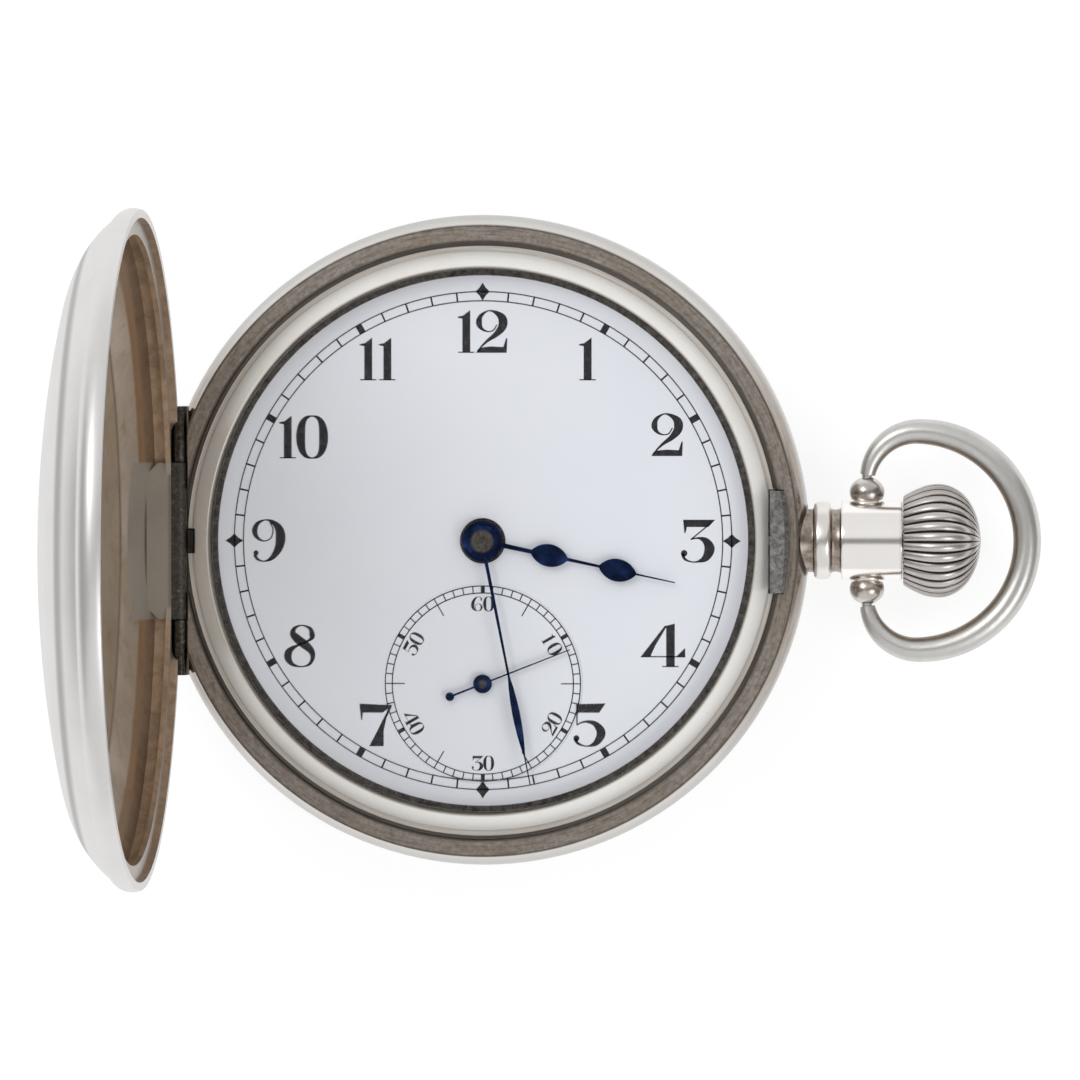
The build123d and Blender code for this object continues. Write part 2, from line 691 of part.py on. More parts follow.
def front_cover():
    """Domed front cover with a window, an undercut lip, a bead and its middle knuckle."""
    z = Z_FRONT
    top = z + LID_DEPTH
    bead_r = CASE_R
    skirt_r = SEAT_R + WIDE_GAP + FIT
    groove_z = z + BEAD_HEIGHT
    crown_z = top - LID_CROWN_DROP
    outer = [
        ThreePointArc((0, top), (LID_CROWN_R, crown_z), (LID_SHOULDER_R, top - LID_SHOULDER_DROP)),
        ThreePointArc(
            (LID_SHOULDER_R, top - LID_SHOULDER_DROP),
            (LID_TURN_R, top - LID_TURN_DROP),
            (skirt_r - EDGE, groove_z + EDGE),
        ),
        Line((skirt_r - EDGE, groove_z + EDGE), (skirt_r, groove_z)),
        ThreePointArc((skirt_r, groove_z), (bead_r, z + BEAD_HEIGHT / 3), (bead_r - EDGE, z - SKIRT_DEPTH)),
        Polyline(
            (bead_r - EDGE, z - SKIRT_DEPTH),
            (skirt_r, z - SKIRT_DEPTH),
            (skirt_r, z + SEAM_GAP),
            (LIP_R, z + SEAM_GAP),
            (LIP_R, z + SEAM_GAP + LIP_T),
            (UNDERCUT_R, z + SEAM_GAP + LIP_T),
            (UNDERCUT_R, z + SEAM_GAP + LIP_T + UNDERCUT_H),
            (LID_TURN_R - EDGE, z + SEAM_GAP + LIP_T + UNDERCUT_H + SHELL_T),
        ),
        ThreePointArc(
            (LID_TURN_R - EDGE, z + SEAM_GAP + LIP_T + UNDERCUT_H + SHELL_T),
            (LID_TURN_R - 2 * SHELL_T, top - LID_TURN_DROP - SHELL_T / 3),
            (LID_SHOULDER_R - SHELL_T / 2, top - LID_SHOULDER_DROP - SHELL_T),
        ),
        ThreePointArc(
            (LID_SHOULDER_R - SHELL_T / 2, top - LID_SHOULDER_DROP - SHELL_T),
            (LID_CROWN_R, crown_z - SHELL_T),
            (0, top - SHELL_T),
        ),
        Line((0, top - SHELL_T), (0, top)),
    ]
    cover = turned(outer)
    cover -= disc(CENTRE, WINDOW_R + FIT, z, top + CUT)
    cover = cover_rim(cover, Z_HINGE_FRONT, z - CUT, z + BEAD_HEIGHT + EDGE)
    half = LID_KNUCKLE_LENGTH / 2
    face_x = HINGE_X + GUSSET_T
    low = z + SEAM_GAP
    gusset = block(HINGE_X - HINGE_INSET, face_x, -half, half, low, low + GUSSET_H)
    corners = [
        (half - GUSSET_BEVEL, low + GUSSET_H),
        (half, low + GUSSET_H),
        (half, low + GUSSET_H - GUSSET_BEVEL),
    ]
    for side in (1, -1):
        corner = outline([(side * y, height) for y, height in corners])
        gusset -= Pos(face_x + CUT, 0, 0) * extrude(Plane.YZ * corner, amount=-4 * CUT)
    web = block(HINGE_X - HINGE_INSET, HINGE_X + KNUCKLE_R, -half, half, Z_HINGE_FRONT, low)
    web -= cross_rod(KNUCKLE_R, -EDGE_Y, EDGE_Y, HINGE_X, Z_HINGE_FRONT)
    cover += gusset + web + knuckle(-half, half, Z_HINGE_FRONT)
    return cover


def window_height():
    """Height of the outer face of the front cover at the edge of its window."""
    bow = LID_CROWN_DROP / LID_CROWN_R**2
    return Z_FRONT + LID_DEPTH - bow * WINDOW_R**2


def window_ring():
    """Turned ring that holds the window glass in the front cover."""
    z = window_height()
    inner = WINDOW_R - WINDOW_RING_W
    low = z - SHELL_T - WINDOW_RING_STAND
    return turned_points(
        [
            (inner, z - EDGE),
            (inner + EDGE, z + WINDOW_RING_STAND),
            (WINDOW_R - EDGE, z + WINDOW_RING_STAND),
            (WINDOW_R, z),
            (WINDOW_R, low),
            (WINDOW_R - WINDOW_RING_W / 2, low),
            (WINDOW_R - WINDOW_RING_W / 2, z - WINDOW_RING_W / 3),
            (inner, z - WINDOW_RING_W / 3),
        ]
    )


def window_glass():
    """Small glass of the half hunter window."""
    z = window_height() - WINDOW_RING_W / 3 - FIT
    radius = WINDOW_R - WINDOW_RING_W / 2 - FIT
    return disc(CENTRE, radius, z - WINDOW_GLASS_T, z)


def back_cover():
    """Domed back cover with a flat to lie on, a bead and its two knuckles."""
    z = Z_BACK
    skirt_r = SEAT_R + WIDE_GAP + FIT
    groove_z = z - BEAD_HEIGHT
    dome_r = (REST_FLAT_R + BACK_CROWN_R) / 2
    edges = [
        Polyline((0, SHELL_T), (0, 0), (REST_FLAT_R, 0)),
        ThreePointArc((REST_FLAT_R, 0), (dome_r, BACK_CROWN_RISE / 4), (BACK_CROWN_R, BACK_CROWN_RISE)),
        ThreePointArc(
            (BACK_CROWN_R, BACK_CROWN_RISE),
            (LID_TURN_R, (BACK_CROWN_RISE + groove_z) / 2),
            (skirt_r - EDGE, groove_z - EDGE),
        ),
        Line((skirt_r - EDGE, groove_z - EDGE), (skirt_r, groove_z)),
        ThreePointArc((skirt_r, groove_z), (CASE_R, z - BEAD_HEIGHT / 3), (CASE_R - EDGE, z + SKIRT_DEPTH)),
        Polyline(
            (CASE_R - EDGE, z + SKIRT_DEPTH),
            (skirt_r, z + SKIRT_DEPTH),
            (skirt_r, z - SEAM_GAP),
            (LIP_R, z - SEAM_GAP),
            (LIP_R, groove_z),
        ),
        ThreePointArc(
            (LIP_R, groove_z),
            (LID_TURN_R - SHELL_T, (BACK_CROWN_RISE + groove_z) / 2 + SHELL_T / 2),
            (BACK_CROWN_R, BACK_CROWN_RISE + SHELL_T),
        ),
        ThreePointArc(
            (BACK_CROWN_R, BACK_CROWN_RISE + SHELL_T),
            (dome_r, BACK_CROWN_RISE / 4 + SHELL_T),
            (REST_FLAT_R, SHELL_T),
        ),
        Line((REST_FLAT_R, SHELL_T), (0, SHELL_T)),
    ]
    cover = turned(edges)
    cover = cover_rim(cover, Z_HINGE_BACK, z - BEAD_HEIGHT - EDGE, z + CUT)
    start = DUST_KNUCKLE_LENGTH / 2 + WIDE_GAP
    stop = start + BACK_KNUCKLE_LENGTH
    for y0, y1 in ((start, stop), (-stop, -start)):
        web = block(HINGE_X - HINGE_INSET, HINGE_X + KNUCKLE_R, y0, y1, z - BEAD_HEIGHT / 2, Z_HINGE_BACK)
        web -= cross_rod(KNUCKLE_R, y0 - CUT, y1 + CUT, HINGE_X, Z_HINGE_BACK)
        cover += web + knuckle(y0, y1, Z_HINGE_BACK)
    width = NECK_R + WIDE_GAP
    return cover - block(LIP_R + EDGE, CASE_R + CUT, -width, width, z - SEAM_GAP, z + CUT)


def dust_cover():
    """Inner dust cover, a shallow dish on the middle knuckle of the back hinge."""
    low = SHELL_T + 4 * WIDE_GAP
    wall = DUST_SEAT_DEPTH
    rim_r = DUST_SEAT_R - HINGE_INSET
    rim = Z_BACK - FIT
    dish_r = BACK_CROWN_R - CUT
    flat = [
        (0, low),
        (REST_FLAT_R, low),
        (dish_r, low + BACK_CROWN_RISE * DISH_RISE_SHARE),
        (BACK_CROWN_R + CUT, rim - wall),
        (rim_r - CUT, rim),
        (rim_r, rim),
        (rim_r, rim + wall),
        (BACK_CROWN_R + CUT - wall, rim + wall),
        (dish_r - wall / 2, low + BACK_CROWN_RISE * DISH_RISE_SHARE + wall),
        (REST_FLAT_R, low + wall),
        (0, low + wall),
    ]
    cover = turned_points(flat)
    half = DUST_KNUCKLE_LENGTH / 2
    tongue = block(HINGE_X, -rim_r + CUT, -half, half, rim, rim + wall)
    tongue -= cross_rod(KNUCKLE_R, -EDGE_Y, EDGE_Y, HINGE_X, Z_HINGE_BACK)
    return cover + tongue + knuckle(-half, half, Z_HINGE_BACK)


def bezel():
    """Sloping bezel with the groove that holds the crystal, notched under the catch."""
    low = Z_BEZEL + FIT
    step = Z_BEZEL + BEZEL_STEP_H
    groove = BEZEL_BORE_R + CRYSTAL_GROOVE
    glass = Z_BEZEL + CRYSTAL_LOW
    crest = Z_BEZEL + BEZEL_CREST
    shape = turned_points(
        [
            (BEZEL_R, low),
            (BEZEL_R, step),
            (BEZEL_STEP_R, step),
            (BEZEL_STEP_R, Z_BEZEL + BEZEL_SLOPE_H),
            (BEZEL_BORE_R + 2 * EDGE, crest),
            (BEZEL_BORE_R, crest - EDGE),
            (BEZEL_BORE_R, glass + CRYSTAL_EDGE_T + FIT),
            (groove, glass + CRYSTAL_EDGE_T + FIT),
            (groove, glass - FIT),
            (BEZEL_BORE_R, glass - FIT),
            (BEZEL_BORE_R, low),
        ]
    )
    slot = CATCH_WIDTH / 2 + WIDE_GAP
    edge = CATCH_STEM_X - CATCH_TRAVEL - WIDE_GAP
    shape -= block(edge, CASE_R, -slot, slot, Z_BEZEL - CUT, Z_FRONT + CUT)
    nose = LIFT_NOSE_WIDTH / 2 + WIDE_GAP
    return shape - block(-CASE_R, LIFT_NOSE_X + WIDE_GAP, -nose, nose, Z_BEZEL - CUT, Z_FRONT + CUT)


def crystal():
    """Low domed crystal."""
    low = Z_BEZEL + CRYSTAL_LOW
    rim_r = BEZEL_BORE_R + CRYSTAL_GROOVE - FIT
    flat_r = BEZEL_BORE_R - WIDE_GAP
    top = low + CRYSTAL_EDGE_T
    edges = [
        Line((0, low + CRYSTAL_RISE), (0, top + CRYSTAL_RISE)),
        TangentArc((0, top + CRYSTAL_RISE), (flat_r, top), tangent=(1, 0)),
        Polyline((flat_r, top), (rim_r, top), (rim_r, low), (flat_r, low)),
        TangentArc((0, low + CRYSTAL_RISE), (flat_r, low), tangent=(1, 0)),
    ]
    return turned(edges)


def catch():
    """End of the lock spring: an upright through the band and the hook that holds the front cover."""
    half = CATCH_WIDTH / 2
    top = Z_FRONT + CATCH_HEAD_DROP
    foot = Z_BACK + DUST_SEAT_DEPTH + LOWER_LIP_T + RUN_GAP
    upright = block(CATCH_STEM_X, CATCH_R, -half, half, foot, top)
    upright &= disc(CENTRE, LIP_R - WIDE_GAP, foot, top)
    upright -= rod(STEM_R + WIDE_GAP + WIDE_GAP, CATCH_STEM_X - CUT, CATCH_R)
    head = block(CATCH_INNER_X, CATCH_R, -half, half, top, top + CATCH_HEAD_T)
    slope = turned_points(
        [(0, top), (CATCH_R, top), (CATCH_R, top + CATCH_HEAD_T / 2),
         (CATCH_R - CATCH_HEAD_T / 2, top + CATCH_HEAD_T),
         (0, top + CATCH_HEAD_T)]
    )
    return upright + (head & slope)


def lock_spring_arm():
    """Fixed arm of the lock spring, bent along the band from the catch to its screw."""
    outer = BEZEL_SEAT_R - WIDE_GAP
    start = degrees(atan2(CATCH_WIDTH / 2 + WIDE_GAP, CATCH_STEM_X))
    return spring_strip(outer, -start - SPRING_SWEEP, -start)


def spring_strip(outer, start, stop):
    """Strip of spring steel lying in the channel of the band."""
    low = Z_BACK + DUST_SEAT_DEPTH + LOWER_LIP_T + RUN_GAP
    high = Z_LEDGE - LEDGE_T - RUN_GAP
    whole = ring(CENTRE, outer, outer - SPRING_T, low, high)
    reach = 2 * outer
    middle = (start + stop) / 2
    corners = [(0, 0), polar(reach, start), polar(reach, middle), polar(reach, stop)]
    return whole & slab(outline(corners), low - CUT, high + CUT)


def lift_spring():
    """Fly spring: a strip in the channel with a nose that rises behind the front hinge."""
    outer = BEZEL_SEAT_R - WIDE_GAP
    half = LIFT_NOSE_WIDTH / 2
    low = Z_BACK + DUST_SEAT_DEPTH + LOWER_LIP_T + RUN_GAP
    strip = spring_strip(outer, 180, 180 + LIFT_SWEEP)
    notch_x = HINGE_X + NOTCH_DEPTH
    nose = block(notch_x, LIFT_NOSE_X, -half, half, low, Z_FRONT - RUN_GAP)
    return strip + nose


def hinged_ears():
    """The two balls on the pendant that carry the bow."""
    ears = []
    for side in (1, -1):
        steps = [polar(EAR_R, angle) for angle in EAR_FACETS]
        shape = turned_points([(0, -EAR_R), *steps, (0, EAR_R)])
        ball = Pos(EAR_X, side * EAR_Y, Z_STEM) * Rot(90, 0, 0) * shape
        y0, y1 = sorted((side * (EAR_Y - BOW_PIN_DEPTH / 3), side * (EAR_Y + EAR_R + CUT)))
        ears.append(ball - cross_rod(BOW_PIN_R + RUN_GAP, y0, y1, EAR_X, Z_STEM))
    return ears


def pendant():
    """Neck with its collars, the main barrel and the two ears of the bow."""
    low_r = NECK_R - EDGE

    def bead(x0, x1, peak):
        """Three flats round a bead, where the wear has left them nearly round."""
        step = (x1 - x0) / 4
        return [(peak, x0 + step), (peak, x1 - step), (NECK_R, x1)]

    edges = [
        Polyline(
            (PENDANT_BORE_R, NECK_START),
            (NECK_R, NECK_START),
            (NECK_R, COLLAR_START),
            *bead(COLLAR_START, COLLAR_END, COLLAR_R),
            *bead(COLLAR_END, BEAD_END, BEAD_R),
        ),
        Polyline(
            (NECK_R, BEAD_END),
            (low_r, BARREL_START),
            (PENDANT_R - EDGE, BARREL_START),
            (PENDANT_R, BARREL_START + EDGE),
            (PENDANT_R, BARREL_END - EDGE),
            (PENDANT_R - EDGE, BARREL_END),
            (PENDANT_BORE_R, BARREL_END),
            (PENDANT_BORE_R, NECK_START),
        ),
    ]
    body = Pos(0, 0, Z_STEM) * Rot(0, 90, 0) * turned(edges)
    bore = rod(PENDANT_BORE_R, NECK_START, BARREL_END)
    for ear in hinged_ears():
        body += ear - bore
    return body


def pendant_sleeve():
    """Threaded sleeve in the mouth of the pendant that guides the stem."""
    length = rod(PENDANT_BORE_R, BARREL_END - SLEEVE_LENGTH, BARREL_END)
    return length - rod(SLEEVE_R, BARREL_END - SLEEVE_LENGTH - CUT, BARREL_END + CUT)


def bow():
    """Bow bent to a flattened ring, thin at its ears and full at its end, with its two pins."""
    start_y = EAR_Y + EAR_R + RUN_GAP
    top_x = EAR_X + BOW_TURN_R
    turn_y = BOW_MAIN_R - BOW_TURN_R
    lift = asin((start_y - turn_y) / BOW_TURN_R)

    def bend(angle, side):
        return (top_x - BOW_TURN_R * cos(angle), side * (turn_y + BOW_TURN_R * sin(angle)), 0)

    angles = (lift, (lift + pi / 2) / 2, pi / 2)
    first = Edge.make_three_point_arc(*[bend(angle, 1) for angle in angles])
    far = top_x + BOW_MAIN_R
    main = Edge.make_three_point_arc((top_x, BOW_MAIN_R, 0), (far, 0, 0), (top_x, -BOW_MAIN_R, 0))
    last = Edge.make_three_point_arc(*[bend(angle, -1) for angle in reversed(angles)])
    wire = Wire([first, main, last])
    sections = []
    for place, radius in zip(BOW_PLACE_SHARES, (BOW_END_R, BOW_SIDE_R, BOW_WIRE_R, BOW_SIDE_R, BOW_END_R)):
        plane = Plane(origin=wire @ place, z_dir=wire % place)
        sections.append(plane * Circle(radius))
    body = sweep(sections=sections, path=wire, multisection=True)
    body = Pos(0, 0, Z_STEM) * body
    for side in (1, -1):
        y0, y1 = sorted((side * (EAR_Y + EAR_R - BOW_PIN_DEPTH), side * (start_y + BOW_PIN_R)))
        body += cross_rod(BOW_PIN_R, y0, y1, EAR_X, Z_STEM)
    return body


def star(radius, depth):
    """Ring of flutes: sharp ridges with a V groove between each two."""
    turn = 360 / CROWN_FLUTES
    points = []
    for flute in range(CROWN_FLUTES):
        points.append(polar(radius, flute * turn))
        points.append(polar(radius - depth, (flute + 0.5) * turn))
    return outline(points)


def crown():
    """Fluted onion crown, hollow at its base so that it can be pressed over the pendant."""
    end = CROWN_START + CROWN_LENGTH
    sections = [
        Pos(0, 0, CROWN_START + along * CROWN_LENGTH) * star(CROWN_R * wide, CROWN_R * deep)
        for along, wide, deep in CROWN_SHARES
    ]
    body = loft(sections, ruled=True)
    along, wide, _ = CROWN_SHARES[-1]
    button_r = CROWN_R * wide
    button_z = CROWN_START + along * CROWN_LENGTH
    body += turned(
        [
            Polyline(
                (0, end),
                (0, button_z - CUT),
                (button_r - EDGE, button_z - CUT),
                (button_r - EDGE, button_z),
            ),
            TangentArc((0, end), (button_r - EDGE, button_z), tangent=(1, 0)),
        ]
    )
    body -= disc(CENTRE, CROWN_BORE_R, CROWN_START - CUT, CROWN_START + CROWN_BORE_DEPTH)
    body -= Pos(0, 0, STEM_THREAD_END) * Cylinder(STEM_R, 2 * STEM_THREAD_END, align=HIGH_END)
    return Pos(0, 0, Z_STEM) * Rot(0, 90, 0) * body


def stem():
    """Winding stem: pivot, square for the clutch, round for the pinion, groove, and thread in the crown."""
    square_r = STEM_R - EDGE
    half = square_r * sqrt(0.5)
    body = rod(STEM_PIVOT_R, STEM_PIVOT_START, STEM_SQUARE_START)
    body += block(STEM_SQUARE_START, PINION_START - RUN_GAP, -half, half, Z_STEM - half, Z_STEM + half)
    groove_end = SET_GROOVE_START + SET_GROOVE_LENGTH
    body += rod(STEM_R, PINION_START - RUN_GAP, SET_GROOVE_START)
    body += rod(SET_GROOVE_R, SET_GROOVE_START, groove_end)
    body += rod(STEM_R, groove_end, STEM_THREAD_END)
    return body


def release_collar():
    """Collar on the stem that presses the lock spring when the crown is pushed."""
    start = RELEASE_START
    return rod(RELEASE_R, start, start + RELEASE_LENGTH) - rod(STEM_R + RUN_GAP, start - CUT, CASE_R + CUT)


def face_teeth(x, height, inner, outer, phase=0.0):
    """Small saw teeth around the stem on a face square to it."""
    teeth = []
    width = pi * inner / FACE_TEETH
    for tooth in range(FACE_TEETH):
        piece = block(x, x + height, -width / 2, width / 2, inner, outer)
        turn = Rot(phase + tooth * 360 / FACE_TEETH, 0, 0)
        teeth.append(Pos(0, 0, Z_STEM) * turn * piece)
    return teeth


def winding_pinion():
    """Pinion that turns with the stem and drives the transmission wheel at a right angle."""
    face = gear_face(WINDING_TEETH, WINDING_MODULE, 180)
    body = Pos(PINION_START, 0, Z_STEM) * Rot(0, 90, 0) * extrude(face, amount=CONTRATE_FACE)
    hub_r = WINDING_MODULE * (WINDING_TEETH / 2 - TOOTH_DED) - FIT
    hub_end = PINION_START + CONTRATE_FACE + PINION_HUB_LENGTH
    body += rod(hub_r, PINION_START + CONTRATE_FACE, hub_end)
    return body - rod(STEM_R + RUN_GAP, PINION_START - CUT, hub_end + CUT)


def clutch():
    """Sliding clutch on the square of the stem, with a groove for the yoke."""
    stop = CLUTCH_START + CLUTCH_LENGTH
    groove = CLUTCH_START + CLUTCH_LENGTH / 2 - CLUTCH_GROOVE_W / 2
    body = rod(CLUTCH_R, CLUTCH_START, groove)
    body += rod(CLUTCH_GROOVE_R, groove, groove + CLUTCH_GROOVE_W)
    body += rod(CLUTCH_R, groove + CLUTCH_GROOVE_W, stop)
    for tooth in face_teeth(stop, PINION_FACE_T, STEM_R + RUN_GAP, CLUTCH_R - EDGE):
        body += tooth
    for tooth in face_teeth(CLUTCH_START - PINION_FACE_T, PINION_FACE_T, STEM_R + RUN_GAP, CLUTCH_R - EDGE):
        body += tooth
    return body - rod(STEM_R + 2 * FIT, CLUTCH_START - CUT, stop + CUT)


def winding_pocket():
    """Hollow in the plate for the stem, the clutch and the pinion."""
    wide = WINDING_MODULE * (WINDING_TEETH / 2 + TOOTH_ADD) + WIDE_GAP
    start = CLUTCH_START - PULL_TRAVEL - PINION_FACE_T - WIDE_GAP
    stop = PINION_START + CONTRATE_FACE + WIDE_GAP
    pocket = block(start, stop, -wide, wide, Z_PLATE - CUT, Z_PLATE_TOP + CUT)
    hub = WINDING_MODULE * (WINDING_TEETH / 2 - TOOTH_DED) + RUN_GAP
    hub_end = stop + PINION_HUB_LENGTH
    pocket += block(stop - CUT, hub_end, -hub, hub, Z_PLATE - CUT, Z_STEM + hub)
    slot = STEM_R + WIDE_GAP
    pocket += block(stop - CUT, CASE_R, -slot, slot, Z_PLATE - CUT, Z_STEM + slot)
    pin_x = setting_pin_x()
    side = SET_PIN_R + WIDE_GAP
    pocket += block(pin_x - side, pin_x + PULL_TRAVEL + side, -side, 2 * side, Z_STEM, Z_PLATE_TOP + CUT)
    pocket += rod(STEM_PIVOT_R + RUN_GAP, STEM_PIVOT_START - CUT, start + CUT)
    return pocket


def main_plate():
    """Pillar plate: flange on the case ledge, recess for the motion work, pockets and pivot holes."""
    body = disc(CENTRE, LEDGE_R - PLATE_GAP, Z_PLATE, Z_PLATE_TOP)
    body += disc(CENTRE, WELL_R - PLATE_GAP, Z_LEDGE, Z_PLATE_TOP)
    for centre, reach in (
        (CENTRE, HOUR_MODULE * (HOUR_TEETH / 2 + 1)),
        (MINUTE_POST, CANNON_MODULE * (MINUTE_TEETH / 2 + 1)),
        (SETTING_POST, CANNON_MODULE * (SETTING_TEETH / 2 + 1)),
    ):
        body -= disc(centre, reach + WIDE_GAP, Z_RECESS, Z_PLATE_TOP + CUT)
    body -= winding_pocket()
    body -= disc(CENTRE, CENTRE_ARBOR_R + RUN_GAP, Z_PLATE - CUT, Z_PLATE_TOP)
    body -= disc(FOURTH, ARBOR_R + RUN_GAP, Z_PLATE - CUT, Z_PLATE_TOP + CUT)
    for centre in (THIRD, ESCAPE, PALLET, BALANCE):
        body -= disc(centre, JEWEL_R, Z_PLATE - CUT, Z_PLATE + JEWEL_T)
        body -= disc(centre, JEWEL_HOLE_R, Z_PLATE, Z_PLATE + CUT)
    body -= disc(BARREL, ARBOR_PIVOT_R + RUN_GAP, Z_PLATE - CUT, Z_PLATE + CUT)
    for post in (MINUTE_POST, SETTING_POST):
        body += disc(post, ARBOR_R, Z_RECESS - FIT, Z_RECESS + MOTION_STEP + 2 * MOTION_T)
    body -= disc(SETTING_LEVER_PIVOT, ARBOR_R, Z_LEVER - CUT, Z_PLATE_TOP + CUT)
    body -= lever_pocket()
    return body


def setting_pin_x():
    """Place of the pin of the setting lever along the stem."""
    return SET_GROOVE_START + RUN_GAP + SET_PIN_R


def lever_pocket():
    """Shallow recess under the dial in which the setting lever and the yoke swing."""
    low = Z_LEVER - RUN_GAP
    x0 = CLUTCH_START - PULL_TRAVEL - PINION_FACE_T - WIDE_GAP
    x1 = SETTING_LEVER_PIVOT[0] + 2 * LEVER_W
    return block(x0, x1, -LEVER_W, YOKE_PIVOT[1] + LEVER_W + WIDE_GAP, low, Z_PLATE_TOP + CUT)


def lever_arm(pivot, tip, z):
    """Flat lever from its pivot eye to a narrower tip."""
    turn = direction(pivot, tip)
    left, right = turn + 90, turn - 90
    corners = [
        beside(pivot, LEVER_W * LEVER_EYE_SHARE, left),
        beside(tip, LEVER_W / 3, left),
        beside(tip, LEVER_W / 3, right),
        beside(pivot, LEVER_W * LEVER_EYE_SHARE, right),
    ]
    return slab(outline(corners), z, z + LEVER_T) + disc(pivot, LEVER_W, z, z + LEVER_T)


def setting_lever():
    """Setting lever, with the pin that follows the groove of the stem."""
    tip = (setting_pin_x(), 0)
    body = lever_arm(SETTING_LEVER_PIVOT, tip, Z_LEVER)
    return body + disc(tip, SET_PIN_R, Z_STEM + SET_GROOVE_R + RUN_GAP, Z_LEVER)


def yoke():
    """Yoke that slides the clutch, its nib in the groove of the clutch."""
    groove = CLUTCH_START + CLUTCH_LENGTH / 2
    tip = (groove, CLUTCH_R)
    body = lever_arm(YOKE_PIVOT, tip, Z_LEVER)
    nib = CLUTCH_GROOVE_W * NIB_SHARE
    return body + disc(tip, nib, Z_STEM + CLUTCH_R * NIB_HEIGHT_SHARE, Z_LEVER)


def bridge_outline(name):
    """Flat outline of one of the two large bridges."""
    whole = Circle(BRIDGE_R)
    window = Pos(BALANCE[0], BALANCE[1]) * Circle(BALANCE_WINDOW_R)
    reach = 2 * BRIDGE_R
    split = BRIDGE_SPLIT_Y
    crown_side = CROWN_POST[0] - RATCHET_MODULE * (CROWN_TEETH / 2 + 1)
    low = -RATCHET_MODULE * (CROWN_TEETH / 2 + 2)
    upper = Pos(0, split + reach / 2) * Rectangle(2 * reach, reach)
    upper += Pos(crown_side + reach / 2, low + reach / 2) * Rectangle(reach, reach)
    left = BARREL[0] - BARREL_MODULE * BARREL_TEETH / 2 - POST_R * 3
    if name == "barrel_bridge":
        return (whole & upper) - Pos(left - reach / 2, 0) * Rectangle(reach, 2 * reach) - window
    lower = Pos(0, split - BRIDGE_GAP - reach / 2) * Rectangle(2 * reach, reach)
    gap = BRIDGE_GAP
    lower -= Pos(crown_side - gap + reach / 2, low - gap + reach / 2) * Rectangle(reach, reach)
    edge = ESCAPE[0] - ESCAPE_TIP_R * ESCAPE_ROOM_SHARE
    return (whole & lower) - Pos(edge - reach / 2, 0) * Rectangle(reach, 2 * reach) - window


def bridge(name, arbors):
    """Bridge on its posts, with jewel holes for the arbors that it carries."""
    body = slab(bridge_outline(name), Z_BRIDGE_OUT, Z_BRIDGE)
    for post in POSTS[name]:
        body += disc(post, POST_R, Z_BRIDGE, Z_PLATE)
    for centre in arbors:
        body -= disc(centre, JEWEL_R, Z_BRIDGE - JEWEL_T, Z_BRIDGE + CUT)
        body -= disc(centre, JEWEL_HOLE_R, Z_BRIDGE_OUT - CUT, Z_BRIDGE)
    return body


def barrel_bridge():
    """Bridge over the barrel and the crown wheel."""
    body = bridge("barrel_bridge", [])
    body -= disc(BARREL, ARBOR_PIVOT_R + RUN_GAP, Z_BRIDGE_OUT - CUT, Z_BRIDGE + CUT)
    return body - disc(CROWN_POST, CROWN_ARBOR_R + RUN_GAP, Z_BRIDGE_OUT - CUT, Z_BRIDGE + CUT)


def train_bridge():
    """Bridge over the centre, third, fourth and escape wheels."""
    return bridge("train_bridge", [CENTRE, THIRD, FOURTH, ESCAPE])


def balance_cock():
    """Cock that carries the balance from a foot at the edge."""
    turn = direction(BALANCE, COCK_POST)
    half = JEWEL_R * COCK_ARM_SHARE
    arm = outline(
        [
            beside(BALANCE, half, turn + 90),
            beside(COCK_POST, half * COCK_FOOT_SHARE, turn + 90),
            beside(beside(COCK_POST, half, turn), half, turn + 90),
            beside(beside(COCK_POST, half, turn), half, turn - 90),
            beside(COCK_POST, half * COCK_FOOT_SHARE, turn - 90),
            beside(BALANCE, half, turn - 90),
        ]
    )
    body = slab(arm, Z_COCK_OUT, Z_COCK) + disc(BALANCE, half, Z_COCK_OUT, Z_COCK)
    foot = disc(COCK_POST, half, Z_COCK, Z_PLATE)
    foot &= disc(CENTRE, BRIDGE_R, Z_COCK, Z_PLATE)
    body = (body & disc(CENTRE, BRIDGE_R, Z_COCK_OUT, Z_COCK)) + foot
    body -= disc(BALANCE, JEWEL_R, Z_COCK - JEWEL_T, Z_COCK + CUT)
    return body - disc(BALANCE, JEWEL_HOLE_R, Z_COCK_OUT - CUT, Z_COCK)


def pallet_cock_levels():
    """Lowest and highest level of the pallet cock, between the fork and the balance rim."""
    high = Z_PLATE - ESCAPE_WHEEL_DROP - WHEEL_T - RUN_GAP
    return high - PALLET_COCK_T, high


def pallet_cock():
    """Small cock over the pallet arbor, on its own foot beside the fork."""
    low, high = pallet_cock_levels()
    away = BALANCE_DIRECTION + 90
    foot = beside(PALLET, PALLET_REACH + PALLET_COCK_R, away)
    left, right = away + 90, away - 90
    arm = outline(
        [
            beside(PALLET, PALLET_COCK_R, left),
            beside(foot, PALLET_COCK_R, left),
            beside(foot, PALLET_COCK_R, right),
            beside(PALLET, PALLET_COCK_R, right),
        ]
    )
    body = slab(arm, low, high) + disc(PALLET, PALLET_COCK_R, low, high)
    body += disc(foot, PALLET_COCK_R, low, Z_PLATE)
    return body - disc(PALLET, JEWEL_HOLE_R, low - CUT, high + CUT)


